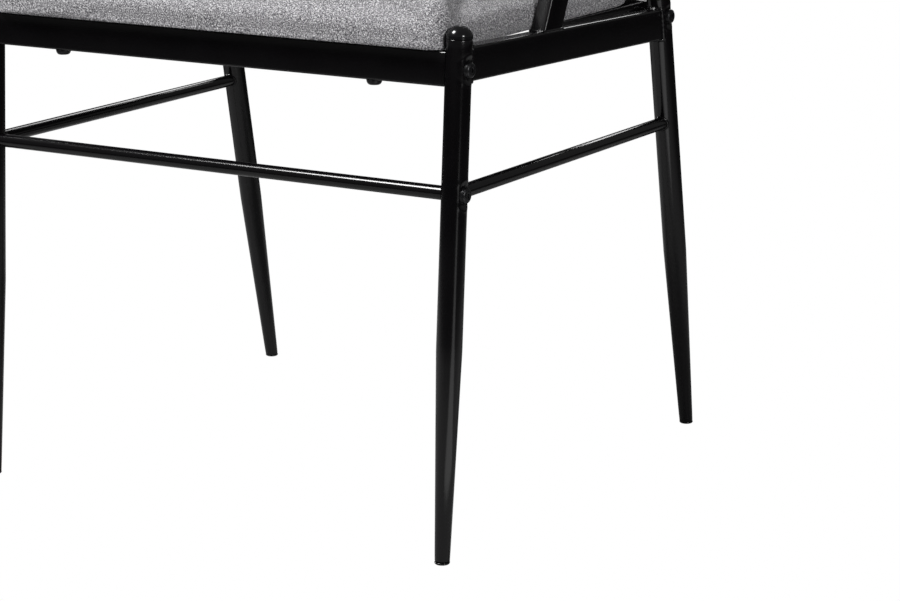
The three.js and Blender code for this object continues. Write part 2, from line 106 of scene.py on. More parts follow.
class Wire:
    """A value in a shader that Python's operators work on."""

    def __init__(self, tree: bpy.types.NodeTree, socket: bpy.types.NodeSocket) -> None:
        """Keeps the tree and the output socket."""
        self.tree, self.socket = tree, socket

    def maths(self, operation: str, *values: Number) -> "Wire":
        """Adds one Math node.

        Args:
            operation: the node's operation.
            values: its inputs, in order.

        Returns:
            The node's result.
        """
        node = self.tree.nodes.new("ShaderNodeMath")
        node.operation = operation
        for slot, value in zip(node.inputs, values):
            if isinstance(value, Wire):
                self.tree.links.new(value.socket, slot)
            else:
                slot.default_value = value
        return Wire(self.tree, node.outputs[0])

    def __add__(self, other: Number) -> "Wire":
        """Sum."""
        return self.maths("ADD", self, other)

    def __radd__(self, other: Number) -> "Wire":
        """Sum with a number on the left."""
        return self.maths("ADD", other, self)

    def __sub__(self, other: Number) -> "Wire":
        """Difference."""
        return self.maths("SUBTRACT", self, other)

    def __rsub__(self, other: Number) -> "Wire":
        """Difference from a number on the left."""
        return self.maths("SUBTRACT", other, self)

    def __mul__(self, other: Number) -> "Wire":
        """Product."""
        return self.maths("MULTIPLY", self, other)

    def __rmul__(self, other: Number) -> "Wire":
        """Product with a number on the left."""
        return self.maths("MULTIPLY", other, self)

    def ramped(self, low: float, high: float) -> "Wire":
        """Smooth step from 0 at `low` to 1 at `high`."""
        node = self.tree.nodes.new("ShaderNodeMapRange")
        node.interpolation_type = "SMOOTHSTEP"
        self.tree.links.new(self.socket, node.inputs["Value"])
        node.inputs["From Min"].default_value = low
        node.inputs["From Max"].default_value = high
        return Wire(self.tree, node.outputs["Result"])


class Recipe:
    """One material under construction."""

    def __init__(self, name: str) -> None:
        """Starts an empty node tree.

        Args:
            name: the material's name.
        """
        self.material = bpy.data.materials.new(name)
        self.material.use_nodes = True
        self.tree = self.material.node_tree
        self.tree.nodes.clear()
        self.place = self.add("ShaderNodeTexCoord", {}, {}, "Object")

    def add(self, kind: str, settings: dict, inputs: dict, output: Union[str, int] = 0) -> Wire:
        """Adds any node.

        Args:
            kind: the node's type.
            settings: properties of the node, set first.
            inputs: values or links of its sockets, by name or index.
            output: which output to return.

        Returns:
            The chosen output.
        """
        node = self.tree.nodes.new(kind)
        for name, value in settings.items():
            setattr(node, name, value)
        for name, value in inputs.items():
            if isinstance(value, Wire):
                self.tree.links.new(value.socket, node.inputs[name])
            else:
                node.inputs[name].default_value = value
        return Wire(self.tree, node.outputs[output])

    def noise(self, scale: float, detail: float = 2.0, roughness: float = 0.5,
              place: Optional[Wire] = None) -> Wire:
        """Even noise from 0 to 1 over the piece, `scale` features to the metre."""
        inputs = {"Vector": place or self.place, "Scale": scale}
        inputs |= {"Detail": detail, "Roughness": roughness}
        return self.add("ShaderNodeTexNoise", {}, inputs, "Fac")

    def cells(self, scale: float) -> Wire:
        """Distance to the nearest of scattered points, as knots of yarn or spangle."""
        inputs = {"Vector": self.place, "Scale": scale}
        return self.add("ShaderNodeTexVoronoi", {"feature": "F1"}, inputs, "Distance")

    def stretched(self, factors: tuple[float, float, float]) -> Wire:
        """The position, scaled along each axis."""
        return self.add("ShaderNodeMapping", {}, {"Vector": self.place, "Scale": factors}, "Vector")

    def axis(self, name: str) -> Wire:
        """One coordinate of the position."""
        return self.add("ShaderNodeSeparateXYZ", {}, {"Vector": self.place}, name)

    def mix(self, share: Number, low: Union[Colour, Wire], high: Union[Colour, Wire]) -> Wire:
        """Blend of two colours."""
        return self.add("ShaderNodeMix", {"data_type": "RGBA"}, {0: share, 6: low, 7: high}, 2)

    def relief(self, height: Wire, depth: float) -> Wire:
        """A normal from a height of `depth` metres."""
        inputs = {"Height": height, "Distance": depth, "Strength": 1.0}
        return self.add("ShaderNodeBump", {}, inputs, "Normal")

    def surface(self, inputs: dict) -> bpy.types.Material:
        """Closes the recipe with one Principled surface.

        Args:
            inputs: values or links of the surface's sockets.

        Returns:
            The material.
        """
        body = self.add("ShaderNodeBsdfPrincipled", {}, inputs, "BSDF")
        self.add_output(body)
        return self.material

    def add_output(self, body: Wire) -> None:
        """Links a surface to the material's output."""
        node = self.tree.nodes.new("ShaderNodeOutputMaterial")
        self.tree.links.new(body.socket, node.inputs["Surface"])


# ----------------------------------------------------------------------------------- finishes


@dataclass(frozen=True)
class PowderCoat:
    """Satin black powder coat with its fine orange peel."""

    dark: Colour = (0.0016, 0.0014, 0.0017, 1.0)
    light: Colour = (0.0034, 0.0030, 0.0036, 1.0)
    roughness: float = 0.15
    spread: float = 0.06
    grit_spread: float = 0.05
    gloss: float = 0.40
    peel_scale: float = 1100.0
    peel_depth: float = 0.00002
    drift_scale: float = 26.0

    def material(self) -> bpy.types.Material:
        """The finished material."""
        recipe = Recipe(Slot.STEEL.value)
        drift = recipe.noise(self.drift_scale, detail=3.0)
        peel = recipe.noise(self.peel_scale, detail=1.0)
        grit = recipe.noise(self.peel_scale * 3, detail=0.0)
        return recipe.surface({
            "Base Color": recipe.mix(drift, self.dark, self.light),
            "Roughness": (self.roughness + (drift - 0.5) * self.spread
                          + (grit - 0.5) * self.grit_spread),
            "Specular IOR Level": self.gloss,
            "Normal": recipe.relief(peel + 0.3 * grit, self.peel_depth),
        })


@dataclass(frozen=True)
class MouldedPlastic:
    """Glossy black moulding with faint swirls from the mould."""

    dark: Colour = (0.0035, 0.0035, 0.0040, 1.0)
    light: Colour = (0.0075, 0.0075, 0.0080, 1.0)
    roughness: float = 0.17
    swirl_scale: float = 90.0
    grain_scale: float = 2600.0
    grain_depth: float = 0.00001

    def material(self) -> bpy.types.Material:
        """The finished material."""
        recipe = Recipe(Slot.PLASTIC.value)
        swirl = recipe.noise(self.swirl_scale, detail=4.0, roughness=0.6)
        grain = recipe.noise(self.grain_scale, detail=1.0)
        return recipe.surface({
            "Base Color": recipe.mix(swirl, self.dark, self.light),
            "Roughness": self.roughness + (swirl - 0.5) * 0.12,
            "Specular IOR Level": 0.42,
            "Normal": recipe.relief(grain, self.grain_depth),
        })


@dataclass(frozen=True)
class BlackOxide:
    """Oxide-blackened bolt steel, a little brighter where tools have touched it."""

    dark: Colour = (0.008, 0.008, 0.009, 1.0)
    rubbed: Colour = (0.055, 0.055, 0.060, 1.0)
    roughness: float = 0.30
    rub_scale: float = 420.0

    def material(self) -> bpy.types.Material:
        """The finished material."""
        recipe = Recipe(Slot.BOLT.value)
        rub = recipe.noise(self.rub_scale, detail=4.0, roughness=0.7).ramped(0.52, 0.72)
        turning = recipe.noise(3000.0, detail=1.0)
        return recipe.surface({
            "Base Color": recipe.mix(rub, self.dark, self.rubbed),
            "Metallic": 0.35 + 0.4 * rub,
            "Roughness": self.roughness + 0.12 * rub,
            "Specular IOR Level": 0.4,
            "Normal": recipe.relief(turning, 0.00001),
        })


@dataclass(frozen=True)
class ZincPlate:
    """Zinc plate with its cloudy spangle."""

    bright: Colour = (0.62, 0.63, 0.66, 1.0)
    clouded: Colour = (0.42, 0.43, 0.45, 1.0)
    spangle_scale: float = 260.0

    def material(self) -> bpy.types.Material:
        """The finished material."""
        recipe = Recipe(Slot.ZINC.value)
        spangle = recipe.cells(self.spangle_scale)
        haze = recipe.noise(self.spangle_scale / 3, detail=3.0)
        return recipe.surface({
            "Base Color": recipe.mix(haze, self.bright, self.clouded),
            "Metallic": 1.0,
            "Roughness": 0.28 + 0.2 * haze,
            "Normal": recipe.relief(spangle, 0.00003),
        })


@dataclass(frozen=True)
class BirchPly:
    """Birch plywood: pale faces, darker veneers along the edges."""

    pale: Colour = (0.62, 0.44, 0.26, 1.0)
    dark: Colour = (0.38, 0.24, 0.13, 1.0)
    veneer: float = 0.0015
    grain_stretch: tuple[float, float, float] = (12.0, 260.0, 260.0)

    def material(self) -> bpy.types.Material:
        """The finished material."""
        recipe = Recipe(Slot.PLYWOOD.value)
        run = recipe.stretched(self.grain_stretch)
        grain = recipe.noise(1.0, detail=5.0, roughness=0.6, place=run)
        layers = recipe.axis("Z").maths("SINE", recipe.axis("Z") * (math.pi / self.veneer))
        shade = 0.6 * grain + 0.25 * layers.ramped(-0.2, 0.9)
        return recipe.surface({
            "Base Color": recipe.mix(shade, self.pale, self.dark),
            "Roughness": 0.55 + 0.2 * grain,
            "Normal": recipe.relief(grain, 0.00008),
        })


@dataclass(frozen=True)
class HeatherWeave:
    """Grey heather upholstery: dark and light yarns in an irregular plain weave, with painted shade
    in the low gaps between the yarn knots.
    """

    # colour of the dark yarns, also used as painted shade in the gaps between the knots
    dark_yarn_and_gap_shade: Colour = (0.034, 0.032, 0.038, 1.0)
    ground_yarn: Colour = (0.320, 0.314, 0.328, 1.0)
    light_yarn: Colour = (0.920, 0.910, 0.925, 1.0)
    knot_scale: float = 720.0
    yarn_pitch: float = 0.0021
    patch_scale: float = 34.0
    depth: float = 0.00050
    roughness: float = 0.93

    def material(self) -> bpy.types.Material:
        """The finished material."""
        recipe = Recipe(Slot.FABRIC.value)
        knots = recipe.cells(self.knot_scale)
        heather = recipe.noise(self.knot_scale * 1.25, detail=3.0, roughness=0.75)
        slub = recipe.noise(self.knot_scale * 0.35, detail=2.0, roughness=0.6)
        patches = recipe.noise(self.patch_scale, detail=3.0)
        weave = self.lattice(recipe, slub)
        dark = (1.0 - heather.ramped(0.40, 0.47)) * 0.97
        light = heather.ramped(0.53, 0.59) * 0.93
        tone = recipe.mix(dark, self.ground_yarn, self.dark_yarn_and_gap_shade)
        tone = recipe.mix(light, tone, self.light_yarn)
        worn = recipe.mix(0.10 * patches, tone, self.dark_yarn_and_gap_shade)
        return recipe.surface({
            # darker in the low gaps between the yarn knots, where the relief dips: painted shade
            "Base Color": recipe.mix(knots.ramped(0.35, 0.8) * 0.45, worn, self.dark_yarn_and_gap_shade),
            "Roughness": self.roughness + 0.06 * (slub - 0.5),
            "Specular IOR Level": 0.15,
            "Sheen Weight": 0.12,
            "Sheen Roughness": 0.5,
            "Normal": recipe.relief((1.0 - knots) * 0.7 + 0.5 * weave + 0.5 * heather, self.depth),
        })

    def lattice(self, recipe: Recipe, slub: Wire) -> Wire:
        """Over-and-under of the yarns, wandering with the slub of the yarn."""
        turn = 2 * math.pi / self.yarn_pitch
        waves = [(recipe.axis(name) * turn + 14.0 * slub) for name in "XYZ"]
        waves = [wave.maths("SINE", wave) for wave in waves]
        return (waves[0] * waves[1] + waves[1] * waves[2] + waves[2] * waves[0]) * 0.25 + 0.5


@dataclass(frozen=True)
class LiningCloth:
    """Black non-woven lining, pressed with small dots."""

    dark: Colour = (0.010, 0.010, 0.011, 1.0)
    light: Colour = (0.030, 0.030, 0.033, 1.0)
    dot_scale: float = 520.0

    def material(self) -> bpy.types.Material:
        """The finished material."""
        recipe = Recipe(Slot.LINING.value)
        dots = recipe.cells(self.dot_scale)
        fibre = recipe.noise(1600.0, detail=3.0, roughness=0.7)
        return recipe.surface({
            "Base Color": recipe.mix(fibre * dots.ramped(0.1, 0.6), self.dark, self.light),
            "Roughness": 0.82 + 0.1 * fibre,
            "Specular IOR Level": 0.2,
            "Normal": recipe.relief(dots + 0.4 * fibre, 0.00012),
        })


@dataclass(frozen=True)
class PaleFloor:
    """Studio floor: white to the camera; to other rays a grey that darkens away from the chair, a
    painted pool of light round it.
    """

    near: Colour = (0.34, 0.34, 0.34, 1.0)
    far: Colour = (0.05, 0.05, 0.05, 1.0)
    near_reach: float = 0.75
    far_reach: float = 1.55
    glow: float = 1.0

    def material(self) -> bpy.types.Material:
        """The finished material."""
        recipe = Recipe("studio_floor")
        length = {"operation": "LENGTH"}
        reach = recipe.add("ShaderNodeVectorMath", length, {0: recipe.place}, "Value")
        # painted pool of light: the grey is bright near the chair and dark further out, so bounce
        # and reflections come mostly from near it
        grey = recipe.mix(reach.ramped(self.near_reach, self.far_reach), self.near, self.far)
        shaded = recipe.add("ShaderNodeBsdfDiffuse", {}, {"Color": grey})
        lit = recipe.add("ShaderNodeEmission", {}, {"Strength": self.glow})
        camera = recipe.add("ShaderNodeLightPath", {}, {}, "Is Camera Ray")
        recipe.add_output(recipe.add("ShaderNodeMixShader", {}, {0: camera, 1: shaded, 2: lit}))
        return recipe.material


class Finishes:
    """All finishes of the chair, made once."""

    def __init__(self) -> None:
        """Makes one material for each slot."""
        self.by_slot = {
            Slot.STEEL: PowderCoat().material(),
            Slot.PLASTIC: MouldedPlastic().material(),
            Slot.BOLT: BlackOxide().material(),
            Slot.ZINC: ZincPlate().material(),
            Slot.PLYWOOD: BirchPly().material(),
            Slot.FABRIC: HeatherWeave().material(),
            Slot.LINING: LiningCloth().material(),
        }

    def dress(self, piece: bpy.types.Object, slot: Slot) -> None:
        """Gives a new piece its finish and names the record's slot."""
        piece.data.materials.clear()
        piece.data.materials.append(self.by_slot[slot])

    def dress_node(self, node: str, slot: Slot) -> None:
        """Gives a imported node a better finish."""
        piece = frame["nodes"][node]
        for place in piece.material_slots:
            place.material = self.by_slot[slot]


# ---------------------------------------------------------------------------------- mesh tools


@lru_cache(maxsize=None)
def middle(node: str) -> Vector:
    """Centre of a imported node's box."""
    low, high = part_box(node)
    return (low + high) / 2


@lru_cache(maxsize=None)
def mount(name: str) -> Vector:
    """Place of one of the record's mounts."""
    found = next(m for m in frame["record"]["mounts"] if m["name"] == name)
    return Vector(found["pos_m"])


def smooth_step(value: float, low: float, high: float) -> float:
    """Smooth step from 0 at `low` to 1 at `high`, which may be the smaller."""
    share = min(1.0, max(0.0, (value - low) / (high - low)))
    return share * share * (3 - 2 * share)


def turned(profile: Profile, steps: int = ROUND_STEPS) -> Shape:
    """Spins an outline round +Z.

    Args:
        profile: (radius, height) points, from the bottom to the top.
        steps: facets round the axis.

    Returns:
        The turned shape, with its doubles merged and its faces outwards.
    """
    bm = bmesh.new()
    points = [bm.verts.new((radius, 0.0, height)) for radius, height in profile]
    edges = [bm.edges.new(pair) for pair in zip(points, points[1:])]
    bmesh.ops.spin(bm, geom=points + edges, axis=(0, 0, 1), cent=(0, 0, 0), angle=2 * math.pi,
                   steps=steps, use_merge=True, use_duplicate=False)
    bmesh.ops.remove_doubles(bm, verts=bm.verts[:], dist=WELDED)
    bmesh.ops.recalc_face_normals(bm, faces=bm.faces[:])
    return bm


def block(size: Sequence[float], centre: Sequence[float] = (0, 0, 0)) -> Shape:
    """A rectangular block, the start of rails, strips and pads."""
    bm = bmesh.new()
    bmesh.ops.create_cube(bm, size=1.0)
    bmesh.ops.scale(bm, vec=Vector(size), verts=bm.verts[:])
    bmesh.ops.translate(bm, vec=Vector(centre), verts=bm.verts[:])
    return bm


def rounded(bm: Shape, edges: Iterable[bmesh.types.BMEdge], radius: float, segments: int) -> None:
    """Rounds edges to a radius."""
    bmesh.ops.bevel(bm, geom=list(edges), offset=radius, offset_type="OFFSET", segments=segments,
                    profile=0.5, affect="EDGES", material=-1, clamp_overlap=True)


def along(bm: Shape, axis: int) -> list[bmesh.types.BMEdge]:
    """Edges that run along one axis."""
    chosen = []
    for edge in bm.edges:
        run = (edge.verts[1].co - edge.verts[0].co).normalized()
        if abs(run[axis]) > 0.999:
            chosen.append(edge)
    return chosen


def everything(bm: Shape) -> list:
    """All points, edges and faces of a shape."""
    return bm.verts[:] + bm.edges[:] + bm.faces[:]


def sliced(bm: Shape, axis: int, places: Iterable[float]) -> None:
    """Cuts extra loops across one axis, so that the shape can bend there."""
    normal = Vector((0, 0, 0))
    normal[axis] = 1.0
    for place in places:
        bmesh.ops.bisect_plane(bm, geom=everything(bm), dist=CUT, plane_co=normal * place,
                               plane_no=normal)


def spaced(low: float, high: float, count: int) -> list[float]:
    """`count` even places from `low` to `high`."""
    return [low + (high - low) * index / (count - 1) for index in range(count)]


def moved(bm: Shape, matrix: Matrix) -> Shape:
    """Places a shape, and keeps its faces outwards where the matrix mirrors it."""
    bmesh.ops.transform(bm, matrix=matrix, verts=bm.verts[:])
    if matrix.determinant() < 0:
        bmesh.ops.reverse_faces(bm, faces=bm.faces[:])
    return bm


def round_about(steps: int) -> list[float]:
    """Even angles round a full turn."""
    return [step / steps * 2 * math.pi for step in range(steps)]


def eased(bm: Shape, verts: Iterable[bmesh.types.BMVert]) -> None:
    """Softens points half-way towards their neighbours."""
    bmesh.ops.smooth_vert(bm, verts=list(verts), factor=0.5, use_axis_x=True, use_axis_y=True,
                          use_axis_z=True)


def uneven(place: Vector, fine: float, coarse: float) -> float:
    """Slight unevenness of a stuffed surface, from waves of two sizes."""
    return noise.noise(place * fine) * 0.0008 + noise.noise(place * coarse) * 0.0012


def baked(bm: Shape, name: str) -> bpy.types.Mesh:
    """A shape as a mesh; the shape is freed."""
    mesh = bpy.data.meshes.new(name)
    bm.to_mesh(mesh)
    bm.free()
    return mesh


def placed(name: str, data: bpy.types.ID) -> bpy.types.Object:
    """A new object in the scene."""
    made = bpy.data.objects.new(name, data)
    bpy.context.scene.collection.objects.link(made)
    return made


def joined(shapes: Iterable[Shape]) -> Shape:
    """Several shapes as one; the others are freed."""
    whole = bmesh.new()
    for shape in shapes:
        carrier = baked(shape, "carrier")
        whole.from_mesh(carrier)
        bpy.data.meshes.remove(carrier)
    return whole


def bead(path: Sequence[Vector], radius: float, ripple: float) -> Shape:
    """A closed run of weld along a path, with its overlapping puddles.

    Args:
        path: even points along the joint.
        radius: of the bead.
        ripple: share by which the puddles swell it.

    Returns:
        The bead as a mesh.
    """
    curve = bpy.data.curves.new("bead", "CURVE")
    curve.dimensions, curve.bevel_depth, curve.bevel_resolution = "3D", radius, 3
    curve.use_fill_caps = False
    spline = curve.splines.new("POLY")
    spline.points.add(len(path) - 1)
    spline.use_cyclic_u = True
    for index, (point, place) in enumerate(zip(spline.points, path)):
        point.co = (*place, 1.0)
        point.radius = 1.0 + ripple * math.sin(index * 2.1) * (0.6 + 0.4 * math.sin(index * 0.37))
    carrier = bpy.data.objects.new("bead", curve)
    mesh = bpy.data.meshes.new_from_object(carrier)
    bm = bmesh.new()
    bm.from_mesh(mesh)
    bmesh.ops.recalc_face_normals(bm, faces=bm.faces[:])
    bpy.data.objects.remove(carrier)
    bpy.data.curves.remove(curve)
    bpy.data.meshes.remove(mesh)
    return bm


class Workshop:
    """Turns finished shapes into pieces that ride on the frame."""

    def __init__(self, finishes: Finishes) -> None:
        """Keeps the finishes and counts the pieces."""
        self.finishes = finishes
        self.made = 0

    def piece(self, bm: Shape, name: str, slot: Slot, nodes: Sequence[str] = (),
              crease_deg: float = 34.0) -> bpy.types.Object:
        """Makes a piece from a shape.

        Args:
            bm: the shape in the chair's frame; it is freed.
            name: the piece's name.
            slot: its finish.
            nodes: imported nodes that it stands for.
            crease_deg: edges sharper than this stay sharp.

        Returns:
            The piece, riding on the frame.
        """
        mesh = baked(bm, name)
        mesh.polygons.foreach_set("use_smooth", [True] * len(mesh.polygons))
        mesh.set_sharp_from_angle(angle=math.radians(crease_deg))
        made = placed(name, mesh)
        self.finishes.dress(made, slot)
        if nodes:
            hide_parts(*nodes)
        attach(made, "root")
        self.made += 1
        log.info("%s: %d faces, %s", name, len(mesh.polygons), slot.value)
        return made


# ---------------------------------------------------------------------------------- side frames


@dataclass
class Leg:
    """A round leg that tapers to its foot, with its cap, glide and pressed bolt seats."""

    end: End
    side: Side
    lean: float
    seam: float
    bolt_heights: Sequence[float]
    radius: float = 0.0114
    tip_radius: float = 0.0067
    cap_lip: float = 0.0006
    wall: float = 0.0015
    taper: float = 0.190
    glide_height: float = 0.0024
    glide_radius: float = 0.0069
    seat_flat: float = 0.0096
    seat_reach: float = 0.0135
    toe_out: float = 0.013
    plane_x: float = 0.2545
    first_row: float = 0.012
    row_gap: float = 0.0004
    seat_band: float = 0.018
    seat_core: float = 0.0075
    seat_rim: float = 0.00028
    seat_rim_width: float = 0.0016
    spigot: float = 0.012
    stub_top: float = 0.0154
    play: float = 0.0004
    chamfer: float = 0.0008
    dome_steps: int = 18

    @property
    def foot(self) -> float:
        """Y of the axis on the floor."""
        floor = mount(f"{self.end.value}_foot_{self.side.value}").y
        return floor - self.lean * self.glide_height / 2

    def weld_point(self, x: float, z: float, inward: int) -> Vector:
        """A point on the tube's surface, in the side plane."""
        return Vector((x, self.y(z) + inward * self.surface_offset(x), z))

    def y(self, z: float) -> float:
        """Y of the axis at a height."""
        return self.foot + self.lean * z

    def x(self, z: float) -> float:
        """Distance of the axis from the chair's middle plane at a height."""
        return self.plane_x + self.toe_out * self.y(z)

    def stretch(self, z: float) -> float:
        """Length along the axis up to a height."""
        return z * math.hypot(1.0, self.lean)

    def plane(self) -> Matrix:
        """From the side frame's own plane to the chair."""
        toe = Matrix.Rotation(-math.atan(self.toe_out), 4, "Z")
        mirror = Matrix.Scale(self.side.sign, 4, (1, 0, 0))
        return mirror @ Matrix.Translation((self.plane_x, 0, 0)) @ toe

    def axis(self) -> Matrix:
        """From a shape turned about +Z to the leg."""
        tilt = Matrix.Rotation(-math.atan(self.lean), 4, "X")
        return self.plane() @ Matrix.Translation((0, self.foot, 0)) @ tilt

    def surface_offset(self, across: float, clear: float = 0.0) -> float:
        """How far the tube's surface stands from its axis at a sideways distance."""
        radius = self.radius + clear
        return math.sqrt(max(0.0, radius * radius - across * across))

    def tube(self) -> Shape:
        """The leg itself."""
        top, knee = self.stretch(self.seam), self.stretch(self.taper)
        rows = set(spaced(self.first_row, knee, 15)) | set(spaced(knee + 0.006, top - 0.0012, 12))
        for height in self.bolt_heights:
            centre = self.stretch(height)
            rows |= set(spaced(centre - self.seat_band, centre + self.seat_band, 31))
        rows = sorted(row for row in rows if row < top - 0.001)
        kept = [rows[0]]
        kept += [b for a, b in zip(rows, rows[1:]) if b - a > self.row_gap]
        outer = [(self.outer_radius(row), row) for row in kept]
        rim = [(self.radius - 0.00012, top - 0.0006), (self.radius - 0.0005, top - 0.0001),
               (self.radius - self.wall, top)]
        start = self.glide_height + 0.0003
        base = [(self.tip_radius - self.wall, start), (self.tip_radius - 0.0004, start),
                (self.tip_radius, start + 0.0005)]
        inner = [(self.radius - self.wall, knee), (self.tip_radius - self.wall, start)]
        bm = turned(base + outer + rim + inner)
        for height in self.bolt_heights:
            self.press_seat(bm, self.stretch(height))
        return moved(bm, self.axis())

    def outer_radius(self, along_axis: float) -> float:
        """Outer radius at a length along the axis."""
        share = min(1.0, along_axis / self.stretch(self.taper))
        return self.tip_radius + (self.radius - self.tip_radius) * share

    def press_seat(self, bm: Shape, centre: float) -> None:
        """Presses the shallow flat that a bolt head sits on into the outer side."""
        for vert in bm.verts:
            x, y, z = vert.co
            if x <= 0.004 or math.hypot(x, y) < self.radius - self.wall / 2:
                continue
            reach = math.hypot(y, z - centre)
            share = 1.0 - smooth_step(reach, self.seat_core, self.seat_reach)
            ring = (reach - self.seat_reach + 0.001) / self.seat_rim_width
            rim = math.exp(-ring ** 2) * self.seat_rim
            vert.co.x = x + share * (min(x, self.seat_flat) - x) + rim * (x / self.radius)

    def cap(self) -> Shape:
        """The domed cap in the open end."""
        seam = self.stretch(self.seam) + 0.0003
        bore, low = self.radius - self.wall - self.play, seam - self.spigot
        skirt = [(0.0, low), (bore - self.chamfer, low), (bore, low + self.chamfer), (bore, seam),
                 (self.radius, seam)]
        dome = []
        for step in range(1, self.dome_steps + 1):
            angle = step / self.dome_steps * math.pi / 2
            swell = self.radius + self.cap_lip * smooth_step(step, 0, 3)
            dome.append((swell * math.cos(angle), seam + self.radius * math.sin(angle)))
        dome[-1] = (0.0, dome[-1][1])
        return moved(turned(skirt + dome), self.axis())

    def glide(self) -> Shape:
        """The plastic foot, flat on the floor, with its stub up inside the leg."""
        radius, height = self.glide_radius, self.glide_height
        pad = [(0.0, 0.0), (radius - 0.0016, 0.0), (radius - 0.0007, 0.0003),
               (radius - 0.0001, 0.0010), (radius, 0.0016), (radius - 0.0003, height - 0.0002),
               (radius - 0.0008, height), (0.0, height)]
        level = self.plane() @ Matrix.Translation((0, self.y(height / 2), 0))
        bore, tip = self.tip_radius - self.wall - self.play, self.stub_top
        stub = [(0.0, height / 2), (bore, height / 2), (bore, tip - self.chamfer),
                (bore - self.chamfer, tip), (0.0, tip)]
        return joined([moved(turned(pad), level), moved(turned(stub), self.axis())])

    def build(self, shop: Workshop) -> None:
        """Makes the leg, its cap and its glide."""
        end, side, black = self.end.value, self.side.value, Slot.PLASTIC
        shop.piece(self.tube(), f"{end}_leg_tube_{side}", Slot.STEEL, [f"{end}_leg_{side}"])
        shop.piece(self.cap(), f"{end}_leg_dome_{side}", black, [f"{end}_leg_cap_{side}"], 50)
        shop.piece(self.glide(), f"{end}_foot_{side}", black, [f"{end}_foot_glide_{side}"], 50)


@dataclass
class Bolt:
    """A button-head bolt with a six-sided socket, seated on the tube."""

    head_radius: float = 0.007
    head_height: float = 0.0036
    sunk: float = 0.0014
    shank_radius: float = 0.003
    socket_radius: float = 0.0023
    socket_depth: float = 0.0021
    steps: int = 48
    chamfer: float = 0.0006
    crown_start: float = 0.0009
    crown_radius: float = 0.0034
    crown_turn: float = math.radians(62)

    def shape(self, length: float) -> Shape:
        """The bolt along +Z, its seat at z = 0.

        Args:
            length: of the shank below the seat.

        Returns:
            The bolt's shape.
        """
        head, high, shank, cut = self.head_radius, self.head_height, self.shank_radius, self.chamfer
        outline = [(0.0, -length), (shank - cut, -length), (shank, -length + cut),
                   (shank, -self.sunk), (head - cut, -self.sunk), (head, -self.sunk + cut),
                   (head, 0.0004), (head - 0.0002, self.crown_start)]
        for step in range(1, 9):
            angle = step / 8 * self.crown_turn
            rise = (high - 0.0011) * math.sin(angle) / 0.883
            outline.append((self.crown_radius + self.crown_radius * math.cos(angle),
                            self.crown_start + rise))
        outline += [(0.0046, high), (0.0030, high)]
        socket, floor = self.socket_radius, high - self.socket_depth
        hexagon = [(socket + 0.0002, high - 0.0002), (socket, high - 0.0005), (socket, floor)]
        bm = turned(outline + hexagon + [(0.0, floor - 0.0004)], self.steps)
        flat = socket * math.cos(math.pi / 6)
        for vert in bm.verts:
            radius = math.hypot(vert.co.x, vert.co.y)
            if vert.co.z > 0 and 0.001 < radius < socket + 0.0003:
                angle = math.atan2(vert.co.y, vert.co.x) % (math.pi / 3) - math.pi / 6
                scale = flat / math.cos(angle) / socket
                vert.co.x, vert.co.y = vert.co.x * scale, vert.co.y * scale
        return bm

    def facing(self, place: Vector, towards: Vector, length: float) -> Shape:
        """The bolt with its seat at `place` and its head towards a direction."""
        turn = towards.to_track_quat("Z", "Y").to_matrix().to_4x4()
        return moved(self.shape(length), Matrix.Translation(place) @ turn)


